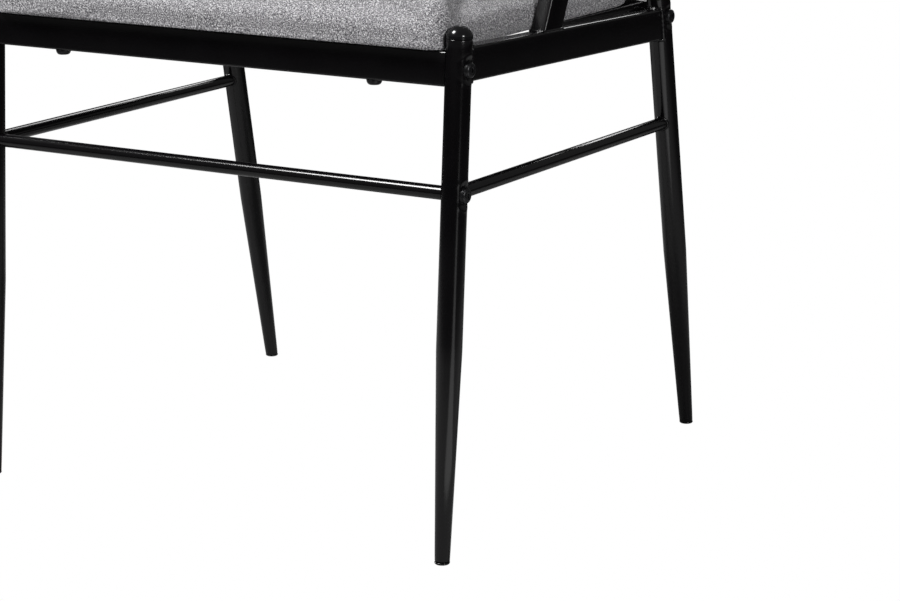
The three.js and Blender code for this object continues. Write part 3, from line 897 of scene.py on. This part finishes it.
@dataclass
class SideFrame:
    """One welded side: two legs, side rail, side stretcher, seat rest and back strut."""

    side: Side
    rail_width: float = 0.015
    rail_height: float = 0.030
    corner: float = 0.002
    rail_front_z: float = 0.43535
    rail_slope: float = -0.0295
    stretcher_radius: float = 0.0062
    stretcher_front_z: float = 0.3255
    stretcher_rear_z: float = 0.3245
    strut_base_y: float = -0.064
    strut_lean: float = math.radians(26)
    strut_top: float = 0.735
    strut_cap: float = 0.0032
    bead_radius: float = 0.0022
    bead_ripple: float = 0.13
    rail_seam_points: int = 72
    stretcher_seam_points: int = 40
    strut_seam_points: int = 64
    rest_thick: float = 0.003
    run_in: float = 0.004
    fine_bead: float = 0.62

    def __post_init__(self) -> None:
        """Sets up the two legs."""
        rail, stretcher = middle("front_rail").z, middle("front_stretcher").z
        self.front = Leg(End.FRONT, self.side, lean=0.063, seam=0.4568,
                         bolt_heights=(rail, stretcher))
        self.rear = Leg(End.REAR, self.side, lean=-0.19, seam=0.452,
                        bolt_heights=(middle("rear_rail").z,))

    def rail_z(self, y: float) -> float:
        """Height of the side rail's axis."""
        return self.rail_front_z + self.rail_slope * (y - self.front.y(middle("front_rail").z))

    def between(self, bm: Shape, low: Vector, high: Vector) -> None:
        """Lays a bar made along Y, one metre long, from one end point to the other."""
        run = high - low
        stretch = Matrix.Scale(run.length, 4, (0, 1, 0))
        turn = Matrix.Rotation(math.atan2(run.z, run.y), 4, "X")
        moved(bm, Matrix.Translation((low + high) / 2) @ turn @ stretch)

    def cope(self, bm: Shape, slope: float) -> None:
        """Shapes both ends of a bar in the side plane to the round legs."""
        reach = max(vert.co.y for vert in bm.verts), min(vert.co.y for vert in bm.verts)
        middle_y = sum(reach) / 2
        for vert in bm.verts:
            leg, inward = (self.front, 1) if vert.co.y < middle_y else (self.rear, -1)
            wall = leg.y(vert.co.z) + inward * leg.surface_offset(vert.co.x)
            if inward * (vert.co.y - wall) < 0.02:
                vert.co.z += slope * (wall - vert.co.y)
                vert.co.y = wall

    def rail(self) -> Shape:
        """The side rail, its ends shaped to the legs."""
        bm = block((self.rail_width, 1.0, self.rail_height))
        rounded(bm, along(bm, 1), self.corner, 4)
        sliced(bm, 0, spaced(*COPE_ROWS))
        height = middle("front_rail").z
        low = Vector((0, self.front.y(height) + self.run_in, 0))
        high = Vector((0, self.rear.y(height) - self.run_in, 0))
        low.z, high.z = self.rail_z(low.y), self.rail_z(high.y)
        self.between(bm, low, high)
        self.cope(bm, self.rail_slope)
        return moved(bm, self.front.plane())

    def stretcher(self) -> Shape:
        """The round side stretcher."""
        radius = self.stretcher_radius
        front_z, rear_z = self.stretcher_front_z, self.stretcher_rear_z
        bm = turned([(0.0, -0.5), (radius, -0.5), (radius, 0.5), (0.0, 0.5)])
        moved(bm, Matrix.Rotation(math.pi / 2, 4, "X"))
        low = Vector((0, self.front.y(front_z) + self.run_in, front_z))
        high = Vector((0, self.rear.y(rear_z) - self.run_in, rear_z))
        self.between(bm, low, high)
        self.cope(bm, (high.z - low.z) / (high.y - low.y))
        return moved(bm, self.front.plane())

    @property
    def strut_base(self) -> float:
        """Height of the side rail's top under the strut."""
        return self.rail_z(self.strut_base_y) + self.rail_height / 2

    def inner_face(self, y: float) -> float:
        """Distance of the struts' inner face from the chair's middle plane."""
        return self.front.plane_x + self.front.toe_out * y - self.rail_width / 2

    def strut_point(self, z: float) -> Vector:
        """A point on the strut's axis, in the side plane."""
        base = self.strut_base
        return Vector((0, self.strut_base_y + (z - base) * math.tan(self.strut_lean), z))

    def strut(self) -> Shape:
        """The leaning strut, cut to the top of the side rail."""
        base = self.strut_base
        length = (self.strut_top - base) / math.cos(self.strut_lean) - self.strut_cap
        bm = block((self.rail_width, self.rail_height, length + 0.02), (0, 0, length / 2 - 0.01))
        rounded(bm, along(bm, 2), self.corner, 4)
        lean = Matrix.Rotation(-self.strut_lean, 4, "X")
        moved(bm, Matrix.Translation((0, self.strut_base_y, base)) @ lean)
        cut = bmesh.ops.bisect_plane(bm, geom=everything(bm), dist=CUT, clear_inner=True,
                                     plane_co=(0, self.strut_base_y, base + 0.0003),
                                     plane_no=(0, -self.rail_slope, 1))
        rim = [item for item in cut["geom_cut"] if isinstance(item, bmesh.types.BMEdge)]
        bmesh.ops.contextual_create(bm, geom=rim)
        return moved(bm, self.front.plane())

    def strut_plug(self) -> Shape:
        """The plastic plug that closes the strut, with a softly rounded top."""
        top = self.strut_point(self.strut_top)
        back = self.strut_cap / 2 + 0.0001
        bm = block((self.rail_width, self.rail_height, self.strut_cap - 0.0002), (0, 0, -back))
        rounded(bm, along(bm, 2), self.corner, 4)
        crown = [edge for edge in bm.edges if min(vert.co.z for vert in edge.verts) > -back]
        rounded(bm, crown, 0.0012, 3)
        turn = Matrix.Rotation(-self.strut_lean, 4, "X")
        return moved(bm, self.front.plane() @ Matrix.Translation(top) @ turn)

    def rest(self) -> Shape:
        """The level strip that carries the rear of the seat."""
        low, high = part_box(f"seat_rest_{self.side.value}")
        bm = block((self.rest_thick, high.y - low.y - 0.0001, high.z - low.z))
        rounded(bm, along(bm, 0), 0.0016, 3)
        rounded(bm, along(bm, 1), 0.0004, 2)
        turn = Matrix.Rotation(-self.side.sign * math.atan(self.front.toe_out), 4, "Z")
        return moved(bm, Matrix.Translation((low + high) / 2) @ turn)

    def rail_seam(self, leg: Leg, inward: int) -> list[Vector]:
        """Outline of the side rail on a leg, in the side plane."""
        path, half_w, half_h = [], self.rail_width / 2, self.rail_height / 2
        centre_y = leg.y(self.rail_front_z)
        for angle in round_about(self.rail_seam_points):
            x, z = math.cos(angle), math.sin(angle)
            reach = max(abs(x), abs(z))
            x = half_w * min(1.0, 1.04 * abs(x) / reach) * math.copysign(1, x)
            path.append(leg.weld_point(x, half_h * z / reach + self.rail_z(centre_y), inward))
        return path

    def stretcher_seam(self, leg: Leg, inward: int, height: float) -> list[Vector]:
        """Outline of the side stretcher on a leg, in the side plane."""
        path = []
        for angle in round_about(self.stretcher_seam_points):
            x = self.stretcher_radius * math.cos(angle)
            z = height + self.stretcher_radius * math.sin(angle)
            path.append(leg.weld_point(x, z, inward))
        return path

    def strut_seam(self) -> list[Vector]:
        """Outline of the strut's foot on the side rail, in the side plane."""
        base = self.strut_base
        half_w = self.rail_width / 2 - 0.0003
        half_l = self.rail_height / 2 / math.cos(self.strut_lean)
        path = []
        for angle in round_about(self.strut_seam_points):
            reach = max(abs(math.cos(angle)), abs(math.sin(angle)))
            x, y = half_w * math.cos(angle) / reach, half_l * math.sin(angle) / reach
            path.append(Vector((x, self.strut_base_y + y, base + self.rail_slope * y)))
        return path

    def welds(self) -> Shape:
        """All beads of this side."""
        full, fine = self.bead_radius, self.bead_radius * self.fine_bead
        runs = [
            (self.rail_seam(self.front, 1), full),
            (self.rail_seam(self.rear, -1), full),
            (self.stretcher_seam(self.front, 1, self.stretcher_front_z), fine),
            (self.stretcher_seam(self.rear, -1, self.stretcher_rear_z), fine),
            (self.strut_seam(), fine),
        ]
        beads = [bead(path, radius, self.bead_ripple) for path, radius in runs]
        return moved(joined(beads), self.front.plane())

    def frame_bolts(self, shop: Workshop) -> None:
        """Bolts through the legs into the cross members, and through the strut into the back."""
        sunk_bolt = Bolt(head_height=0.0031, sunk=0.0034)
        for name in ("front_rail_bolt", "stretcher_bolt", "rear_rail_bolt"):
            side = self.side.value
            self.bolt(shop, sunk_bolt, f"{name}_{side}", f"{name}_button_{side}")
        for level in ("lower", "upper"):
            ending = f"{level}_{self.side.value}"
            self.bolt(shop, Bolt(sunk=0.0), f"back_bolt_{ending}", f"back_bolt_button_{ending}")

    def bolt(self, shop: Workshop, bolt: Bolt, node: str, name: str) -> None:
        """Makes one bolt that faces outwards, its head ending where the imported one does."""
        low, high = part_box(node)
        sign, centre = self.side.sign, middle(node)
        tip = high.x if self.side is Side.LEFT else low.x
        place = Vector((tip - sign * bolt.head_height, centre.y, centre.z))
        shape = bolt.facing(place, Vector((sign, 0, 0)), high.x - low.x - bolt.head_height)
        shop.piece(shape, name, Slot.BOLT, [node], 28)

    def build(self, shop: Workshop) -> None:
        """Makes every piece of the side."""
        side, steel = self.side.value, Slot.STEEL
        self.front.build(shop)
        self.rear.build(shop)
        shop.piece(self.rail(), f"side_rail_tube_{side}", steel, [f"side_rail_{side}"])
        shop.piece(self.stretcher(), f"side_stretcher_tube_{side}", steel,
                   [f"side_stretcher_{side}"])
        shop.piece(self.strut(), f"back_strut_tube_{side}", steel, [f"back_strut_{side}"])
        shop.piece(self.strut_plug(), f"back_strut_plug_{side}", Slot.PLASTIC)
        shop.piece(self.rest(), f"seat_rest_strip_{side}", steel, [f"seat_rest_{side}"])
        shop.piece(self.welds(), f"weld_beads_{side}", Slot.STEEL, (), 60)
        self.frame_bolts(shop)


# --------------------------------------------------------------------------------- cross members


@dataclass
class CrossMembers:
    """The rails and stretcher that the side frames are bolted to."""

    front: Leg
    rear: Leg
    rail_width: float = 0.015
    rail_height: float = 0.030
    corner: float = 0.002
    stretcher_radius: float = 0.0062
    clear: float = 0.0003

    def cope(self, bm: Shape, leg: Leg) -> None:
        """Shapes both ends of a bar along X to the round legs."""
        for vert in bm.verts:
            across = vert.co.y - leg.y(vert.co.z)
            wall = leg.x(vert.co.z) - leg.surface_offset(across, self.clear)
            vert.co.x = math.copysign(wall, vert.co.x)

    def rail(self, leg: Leg, node: str) -> Shape:
        """A rectangular cross rail."""
        centre = middle(node)
        bm = block((0.4, self.rail_width, self.rail_height), centre)
        rounded(bm, along(bm, 0), self.corner, 4)
        sliced(bm, 1, [centre.y + offset for offset in spaced(*COPE_ROWS)])
        self.cope(bm, leg)
        return bm

    def stretcher(self) -> Shape:
        """The round front stretcher."""
        radius = self.stretcher_radius
        bm = turned([(0.0, -0.2), (radius, -0.2), (radius, 0.2), (0.0, 0.2)])
        turn = Matrix.Rotation(math.pi / 2, 4, "Y")
        moved(bm, Matrix.Translation(middle("front_stretcher")) @ turn)
        self.cope(bm, self.front)
        return bm

    def build(self, shop: Workshop) -> None:
        """Makes the three cross members."""
        for leg, node in ((self.front, "front_rail"), (self.rear, "rear_rail")):
            shop.piece(self.rail(leg, node), f"{node}_tube", Slot.STEEL, [node])
        shop.piece(self.stretcher(), "front_stretcher_tube", Slot.STEEL, ["front_stretcher"])


# ------------------------------------------------------------------------------------ upholstery


@dataclass
class Padding:
    """How a stuffed piece is inflated."""

    voxel: float = 0.005
    pressure: float = 4.0
    frames: int = 20

    def remeshed(self, bm: Shape, name: str) -> bpy.types.Object:
        """An even mesh over a shape, which is freed."""
        carrier = placed(name, baked(bm, name))
        remesh = carrier.modifiers.new("even", "REMESH")
        remesh.mode, remesh.voxel_size = "VOXEL", self.voxel
        self.settle(carrier)
        return carrier

    def settle(self, carrier: bpy.types.Object) -> None:
        """Applies every modifier of an object."""
        graph = bpy.context.evaluated_depsgraph_get()
        mesh = bpy.data.meshes.new_from_object(carrier.evaluated_get(graph))
        carrier.modifiers.clear()
        old, carrier.data = carrier.data, mesh
        bpy.data.meshes.remove(old)

    def inflate(self, carrier: bpy.types.Object, held: Callable[[Vector], float],
                cap: Callable[[Vector], float]) -> None:
        """Swells a shape by cloth simulation.

        Args:
            carrier: the evenly meshed object.
            held: how firmly a point is held, from 0 to 1.
            cap: how far a point may move.
        """
        rest = [vert.co.copy() for vert in carrier.data.vertices]
        pins = carrier.vertex_groups.new(name="held")
        for vert in carrier.data.vertices:
            pins.add([vert.index], held(vert.co), "REPLACE")
        cloth = carrier.modifiers.new("cloth", "CLOTH")
        cloth.settings.use_pressure = True
        cloth.settings.uniform_pressure_force = self.pressure
        cloth.settings.effector_weights.gravity = 0.0
        cloth.settings.vertex_group_mass = "held"
        cloth.settings.quality = 6
        cloth.point_cache.frame_start, cloth.point_cache.frame_end = 1, self.frames
        scene = bpy.context.scene
        for number in range(1, self.frames + 1):
            scene.frame_set(number)
        self.settle(carrier)
        scene.frame_set(1)
        for vert, start in zip(carrier.data.vertices, rest):
            move = vert.co - start
            if move.length > cap(start):
                vert.co = start + move.normalized() * cap(start)

    def stuffed(self, bm: Shape, name: str, held: Callable[[Vector], float],
                cap: Callable[[Vector], float]) -> Shape:
        """Evens out a shape, swells it and smooths it.

        Args:
            bm: the starting shape; it is freed.
            name: of the working object.
            held: how firmly a point is held, from 0 to 1.
            cap: how far a point may move.

        Returns:
            The stuffed shape.
        """
        carrier = self.remeshed(bm, name)
        self.inflate(carrier, held, cap)
        return self.subdivided(carrier)

    def subdivided(self, carrier: bpy.types.Object) -> Shape:
        """The shape with one smooth subdivision; the carrier goes."""
        finer = carrier.modifiers.new("finer", "SUBSURF")
        finer.levels = finer.render_levels = 1
        self.settle(carrier)
        bm = bmesh.new()
        bm.from_mesh(carrier.data)
        mesh = carrier.data
        bpy.data.objects.remove(carrier)
        bpy.data.meshes.remove(mesh)
        return bm


@dataclass
class Seat:
    """The upholstered seat: cushion, lining with its staples, and the bolts from below."""

    legs: Sequence[Leg]
    struts: Sequence[SideFrame]
    front_radius: float = 0.021
    rear_radius: float = 0.118
    bottom: float = 0.4452
    bearing: float = 0.4469
    front_lift: float = 0.0007
    leg_gap: float = 0.0008
    side_inset: float = -0.0032
    side_swell: float = 0.0020
    crown: float = 0.014
    top: float = 0.4865
    lower_edge: float = 0.0022
    upper_edge: float = 0.017
    lining_inset: float = 0.024
    lining_thick: float = 0.0005
    staple_gap: float = 0.030
    tuck_depth: float = 0.0003
    tuck_pitch: float = 11.0
    strut_gap: float = 0.0004
    strut_ease: float = 0.012
    bolt_head: float = 0.0048

    @staticmethod
    @lru_cache(maxsize=None)
    def span() -> tuple[Vector, Vector]:
        """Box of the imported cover."""
        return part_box("seat_cover")

    def outline_block(self, inset: float, bottom: float, top: float) -> Shape:
        """A slab with the seat's outline."""
        low, high = self.span()
        size = (high.x - low.x - 2 * inset, high.y - low.y - 2 * inset, top - bottom)
        bm = block(size, ((low.x + high.x) / 2, (low.y + high.y) / 2, (top + bottom) / 2))
        behind = [edge for edge in along(bm, 2) if edge.verts[0].co.y > 0]
        rounded(bm, behind, self.rear_radius - inset, 28)
        ahead = low.y + 2 * abs(inset) + 1e-4
        corners = [edge for edge in along(bm, 2) if edge.verts[0].co.y < ahead]
        rounded(bm, corners, self.front_radius - inset, 12)
        return bm

    @staticmethod
    def rims(bm: Shape) -> list[bmesh.types.BMEdge]:
        """Edges that an upright face ends in."""
        return [e for e in bm.edges if any(abs(f.normal.z) < 0.5 for f in e.link_faces)]

    def held(self, place: Vector) -> float:
        """The underside is stapled to the board."""
        return 1.0 - smooth_step(place.z, self.bottom + 0.002, self.bottom + 0.007)

    def swell_cap(self, place: Vector) -> float:
        """The sides stay close to the board's edge, and the top crowns."""
        rise = smooth_step(place.z, 0.462, self.top)
        return self.side_swell + (self.crown - self.side_swell) * rise

    def cushion(self) -> Shape:
        """The padded cover over foam and board."""
        bm = self.outline_block(self.side_inset, self.bottom, self.top)
        ceiling = [e for e in self.rims(bm) if min(v.co.z for v in e.verts) > self.top - 1e-5]
        rounded(bm, ceiling, self.upper_edge, 6)
        floor = [e for e in self.rims(bm) if max(v.co.z for v in e.verts) < self.bottom + 1e-5]
        rounded(bm, floor, self.lower_edge, 4)
        bm = Padding(voxel=0.0045).stuffed(bm, "seat_pad", self.held, self.swell_cap)
        upper = [vert for vert in bm.verts if vert.co.z > self.bottom + 0.010]
        eased(bm, upper)
        for vert in bm.verts:
            self.crease(vert)
            self.rest_on_frame(vert)
        return bm

    def crease(self, vert: bmesh.types.BMVert) -> None:
        """Gathers the cover in small tucks round the front corners' lower edge, and adds waves."""
        span = self.span()
        corner = Vector((span[1].x - self.front_radius, span[0].y + self.front_radius, 0))
        across = abs(vert.co.x) - corner.x
        ahead = corner.y - vert.co.y
        if across > 0 and ahead > -0.01:
            angle = math.atan2(ahead, across)
            reach = math.hypot(across, ahead)
            fade = smooth_step(vert.co.z, 0.488, 0.452) * smooth_step(reach, 0.015, 0.034)
            depth = self.tuck_depth * math.sin(angle * self.tuck_pitch + 0.4)
            depth *= math.sin(max(0.0, min(math.pi, 2 * angle)))
            out = Vector((math.copysign(across, vert.co.x), -ahead, 0)).normalized()
            vert.co += out * depth * fade
        swell = uneven(vert.co, 22.0, 9.0)
        if vert.co.z > self.bottom + 0.006:
            vert.co += vert.normal * swell

    def rest_on_frame(self, vert: bmesh.types.BMVert) -> None:
        """Keeps the cover above the rails and clear of the leg caps and the struts."""
        front = self.span()[0].y
        lift = self.front_lift * smooth_step(vert.co.y, front + 0.050, front + 0.020)
        vert.co.z = max(vert.co.z, self.bearing + lift)
        for leg in self.legs:
            level = min(vert.co.z, leg.seam)
            axis = Vector((leg.side.sign * leg.x(level), leg.y(level), level))
            away, clear = vert.co - axis, leg.radius + leg.cap_lip + self.leg_gap
            if away.length < clear:
                vert.co += away.normalized() * (clear - away.length)
        for frame_side in self.struts:
            half = frame_side.rail_height / 2 / math.cos(frame_side.strut_lean)
            gap = abs(vert.co.y - frame_side.strut_point(vert.co.z).y) - half
            limit = frame_side.inner_face(vert.co.y)
            limit += -self.strut_gap + self.strut_ease * smooth_step(gap, 0.0, 0.030)
            if vert.co.x * frame_side.side.sign > limit:
                vert.co.x = limit * frame_side.side.sign

    def lining(self) -> Shape:
        """The black cloth stretched under the board, its edges slightly rounded."""
        low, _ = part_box("seat_dust_cover")
        bm = self.outline_block(self.lining_inset, low.z, low.z + self.lining_thick)
        rim = [e for e in self.rims(bm) if any(abs(f.normal.z) > 0.5 for f in e.link_faces)]
        rounded(bm, rim, 0.0002, 2)
        return bm

    def lining_path(self, inset: float) -> list[Vector]:
        """Even places along the lining's edge for its staples."""
        bm = self.outline_block(self.lining_inset + inset, 0.0, 0.001)
        loop = [face for face in bm.faces if face.normal.z < -0.5][0]
        corners = [vert.co.copy() for vert in loop.verts]
        bm.free()
        places, carried = [], 0.0
        for start, stop in zip(corners, corners[1:] + corners[:1]):
            run = stop - start
            while carried < run.length:
                places.append((start + run * (carried / max(run.length, 1e-9)), run.normalized()))
                carried += self.staple_gap
            carried -= run.length
        return places

    def staples(self) -> Shape:
        """Wire staples round the lining's edge."""
        low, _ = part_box("seat_dust_cover")
        shapes = []
        for place, run in self.lining_path(0.006):
            bm = block((0.010, 0.0011, 0.0005))
            rounded(bm, [e for e in along(bm, 1) if e.verts[0].co.z < 0], 0.0003, 2)
            turn = Matrix.Rotation(math.atan2(run.y, run.x), 4, "Z")
            shapes.append(moved(bm, Matrix.Translation((place.x, place.y, low.z - 0.00005)) @ turn))
        return joined(shapes)

    def build(self, shop: Workshop) -> None:
        """Makes the seat's pieces."""
        cushion = shop.piece(self.cushion(), "seat_cushion", Slot.FABRIC,
                             ["seat_cover", "seat_foam"], 80)
        lining = shop.piece(self.lining(), "seat_lining", Slot.LINING, ["seat_dust_cover"])
        staples = shop.piece(self.staples(), "seat_lining_staples", Slot.ZINC)
        low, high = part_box("seat_dust_cover")
        for end in End:
            for side in Side:
                node = f"seat_bolt_{end.value}_{side.value}"
                low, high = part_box(node)
                place = Vector((middle(node).x, middle(node).y, low.z + self.bolt_head))
                bolt = Bolt(head_height=self.bolt_head, sunk=0.0)
                shape = bolt.facing(place, Vector((0, 0, -1)), high.z - low.z - self.bolt_head)
                name = f"seat_bolt_button_{end.value}_{side.value}"
                shop.piece(shape, name, Slot.BOLT, [node], 28)


@dataclass
class Back:
    """The wrap-around padded back: one cushioned band with stitched seams."""

    struts: Sequence[SideFrame]
    half: float = 0.247
    arm_front: float = -0.010
    arm_rear: float = 0.080
    bend_depth: float = 0.135
    bottom: float = 0.610
    height: float = 0.180
    lean: float = math.radians(8)
    thick: float = 0.040
    edge: float = 0.013
    swell_cap: float = 0.010
    skin: float = 0.0036
    shell_trim: float = 0.012
    shell_thick: float = 0.010
    shell_edge: float = 0.0015
    arm_steps: int = 6
    seam_depth: float = 0.007
    seam_draw: float = 0.0018
    seam_width: float = 0.0022
    seam_band: float = 0.03
    strut_gap: float = 0.0003

    def leaning(self) -> Matrix:
        """From the band's own frame to the chair."""
        return Matrix.Translation((0, 0, self.bottom)) @ Matrix.Rotation(-self.lean, 4, "X")

    def ribbon(self, inset: float = 0.0, trim: float = 0.0) -> Shape:
        """A face parallel to the band's outer one, from arm end to arm end, in its own frame.

        Args:
            inset: distance from the outer face.
            trim: how much shorter it is at the arm ends, top and bottom.

        Returns:
            The open ribbon, facing outwards.
        """
        bm = bmesh.new()
        bmesh.ops.create_circle(bm, segments=96, radius=1.0)
        radii = Vector((self.half - inset, self.bend_depth - inset, 1.0))
        bmesh.ops.scale(bm, vec=radii, verts=bm.verts[:])
        bmesh.ops.bisect_plane(bm, geom=everything(bm), dist=1e-6, plane_co=(0, 0, 0),
                               plane_no=(0, 1, 0), clear_inner=True)
        bmesh.ops.translate(bm, vec=Vector((0, self.arm_rear, trim)), verts=bm.verts[:])
        ends = [vert for vert in bm.verts if len(vert.link_edges) == 1]
        for _ in range(self.arm_steps):
            grown = bmesh.ops.extrude_vert_indiv(bm, verts=ends)
            ends = grown["verts"]
            step = (self.arm_front + trim - self.arm_rear) / self.arm_steps
            bmesh.ops.translate(bm, vec=Vector((0, step, 0)), verts=ends)
        grown = bmesh.ops.extrude_edge_only(bm, edges=bm.edges[:])
        lifted = [item for item in grown["geom"] if isinstance(item, bmesh.types.BMVert)]
        bmesh.ops.translate(bm, vec=Vector((0, 0, self.height - 2 * trim)), verts=lifted)
        bmesh.ops.recalc_face_normals(bm, faces=bm.faces[:])
        if sum(face.normal.y for face in bm.faces) < 0:
            bmesh.ops.reverse_faces(bm, faces=bm.faces[:])
        return bm

    @staticmethod
    def band(ribbon: Shape, thick: float, edge: float, segments: int) -> Shape:
        """Thickens a ribbon inwards and rounds its sharp edges."""
        bmesh.ops.solidify(ribbon, geom=ribbon.faces[:], thickness=thick)
        bmesh.ops.recalc_face_normals(ribbon, faces=ribbon.faces[:])
        sharp = [e for e in ribbon.edges if e.calc_face_angle(0.0) > math.radians(60)]
        rounded(ribbon, sharp, edge, segments)
        return ribbon

    def outer(self, place: Vector) -> float:
        """0 on the outer face, growing inwards, in the band's own frame."""
        if place.y < self.arm_rear:
            return self.half - abs(place.x)
        radial = math.hypot(place.x / self.half, (place.y - self.arm_rear) / self.bend_depth)
        return (1.0 - radial) * self.bend_depth

    def held(self, place: Vector) -> float:
        """The outer face lies on the plywood shell."""
        return 1.0 - smooth_step(self.outer(place), 0.003, 0.012)

    def cushion(self) -> Shape:
        """The padded band."""
        bm = self.band(self.ribbon(), self.thick, self.edge, 5)
        bm = Padding().stuffed(bm, "back_pad", self.held, lambda place: self.swell_cap)
        eased(bm, bm.verts)
        bm.normal_update()
        for vert in bm.verts:
            self.sew(vert)
        moved(bm, self.leaning())
        for vert in bm.verts:
            self.clear_struts(vert)
        return bm

    def shell(self) -> Shape:
        """The bent plywood shell inside the cover."""
        ribbon = self.ribbon(inset=self.skin, trim=self.shell_trim)
        return moved(self.band(ribbon, self.shell_thick, self.shell_edge, 2), self.leaning())

    def sew(self, vert: bmesh.types.BMVert) -> None:
        """Draws the cover in along its seams and softens its evenness."""
        depth = self.outer(vert.co)
        seam, band = min(abs(depth - self.seam_depth), 1.0), self.seam_band
        if not band <= vert.co.z <= self.height - band or vert.co.y < self.arm_front + band:
            vert.co -= vert.normal * self.seam_draw * math.exp(-((seam / self.seam_width) ** 2))
        swell = uneven(vert.co, 20.0, 8.0)
        vert.co += vert.normal * swell * smooth_step(depth, 0.004, 0.02)

    def clear_struts(self, vert: bmesh.types.BMVert) -> None:
        """Keeps the arms inside the struts."""
        side = self.struts[0] if vert.co.x > 0 else self.struts[1]
        limit = side.inner_face(vert.co.y) - self.strut_gap
        if vert.co.y < self.arm_rear + 0.03 and abs(vert.co.x) > limit:
            vert.co.x = math.copysign(limit, vert.co.x)

    def build(self, shop: Workshop) -> None:
        """Makes the back's pieces."""
        cushion = shop.piece(self.cushion(), "back_cushion", Slot.FABRIC,
                             ["back_cover", "back_foam"], 80)
        shop.piece(self.shell(), "back_shell_ply", Slot.PLYWOOD, ["back_shell"])


# ---------------------------------------------------------------------------------------- studio


@dataclass(frozen=True)
class Softbox:
    """A rectangular studio light aimed at the chair."""

    name: str
    place: tuple[float, float, float]
    size: tuple[float, float]
    power: float
    target: tuple[float, float, float] = (0.0, 0.0, 0.40)
    spin_deg: float = 0.0

    def build(self) -> None:
        """Adds the light."""
        data = bpy.data.lights.new(self.name, "AREA")
        data.shape = "RECTANGLE"
        data.size, data.size_y = self.size
        data.energy = self.power
        lamp = placed(self.name, data)
        lamp.location = self.place
        aim = Vector(self.target) - Vector(self.place)
        spin = Quaternion((0.0, 0.0, 1.0), math.radians(self.spin_deg))
        lamp.rotation_euler = (aim.to_track_quat("-Z", "Y") @ spin).to_euler()


@dataclass
class Studio:
    """Floor, lights, world and camera."""

    floor_half: float = 9.0
    ambient: float = 0.12
    camera_place: tuple[float, float, float] = (1.302914, -2.041492, 0.768667)
    camera_turn_deg: float = 30.145
    camera_pitch_deg: float = 14.323
    lens: float = 101.17
    sensor: float = 36.0
    clip_end: float = 100.0

    def floor(self) -> None:
        """The pale floor."""
        bm = bmesh.new()
        bmesh.ops.create_grid(bm, x_segments=4, y_segments=4, size=self.floor_half)
        mesh = baked(bm, "studio_floor")
        mesh.materials.append(PaleFloor().material())
        placed("studio_floor", mesh)

    def world(self) -> None:
        """Dim even light all round, but white where the camera sees past the floor."""
        world = bpy.data.worlds.new("studio")
        bpy.context.scene.world = world
        world.use_nodes = True
        tree = world.node_tree
        tree.nodes.clear()
        camera = tree.nodes.new("ShaderNodeLightPath").outputs["Is Camera Ray"]
        strength = tree.nodes.new("ShaderNodeMapRange")
        tree.links.new(camera, strength.inputs["Value"])
        strength.inputs["To Min"].default_value = self.ambient
        strength.inputs["To Max"].default_value = 1.0
        background = tree.nodes.new("ShaderNodeBackground")
        background.inputs["Color"].default_value = (1.0, 1.0, 1.0, 1.0)
        tree.links.new(strength.outputs["Result"], background.inputs["Strength"])
        output = tree.nodes.new("ShaderNodeOutputWorld")
        tree.links.new(background.outputs[0], output.inputs["Surface"])

    def lights(self) -> None:
        """Softboxes: a key, two sides, a rim from behind, and a strip that lies on the floor."""
        for box in (
            Softbox("key_softbox", (-0.95, -1.15, 2.45), (0.78, 0.78), 77.0),
            Softbox("side_softbox", (2.45, -1.25, 1.35), (0.5, 0.9), 30.0),
            Softbox("rear_softbox", (-0.6, 2.6, 2.0), (1.6, 0.9), 24.0),
            Softbox("far_softbox", (-2.8, 0.6, 1.3), (0.5, 1.2), 22.0),
            Softbox("floor_strip", (1.64, -0.95, 0.004), (0.40, 2.7), 3.4,
                    target=(1.64, -0.95, 1.0), spin_deg=117.0),
        ):
            box.build()

    def camera(self) -> None:
        """The camera, level and without blur."""
        data = bpy.data.cameras.new("camera")
        data.lens, data.sensor_width, data.clip_end = self.lens, self.sensor, self.clip_end
        piece = placed("camera", data)
        piece.location = self.camera_place
        pitch = math.radians(90.0 - self.camera_pitch_deg)
        piece.rotation_euler = (pitch, 0.0, math.radians(self.camera_turn_deg))
        bpy.context.scene.camera = piece

    def build(self) -> None:
        """Sets the whole studio."""
        self.camera()
        self.floor()
        self.world()
        self.lights()
        bpy.context.scene.view_settings.view_transform = "Standard"
        bpy.context.scene.view_settings.look = "None"


def dress_packed_nodes(finishes: Finishes) -> None:
    """Finishes of the inner parts that stay as packed."""
    for name in frame["nodes"]:
        if "plug" in name or "nut" in name:
            finishes.dress_node(name, Slot.ZINC)
        elif name == "seat_board":
            finishes.dress_node(name, Slot.PLYWOOD)


def main() -> None:
    """Builds the chair and its studio."""
    logging.basicConfig(level=logging.INFO, format="%(name)s: %(message)s")
    Studio().build()
    finishes = Finishes()
    shop = Workshop(finishes)
    sides = [SideFrame(side) for side in Side]
    for side_frame in sides:
        side_frame.build(shop)
    CrossMembers(sides[0].front, sides[0].rear).build(shop)
    legs = [leg for side_frame in sides for leg in (side_frame.front, side_frame.rear)]
    Seat(legs, sides).build(shop)
    Back(sides).build(shop)
    dress_packed_nodes(finishes)
    log.info("%d pieces made", shop.made)


if __name__ == "__main__":
    main()
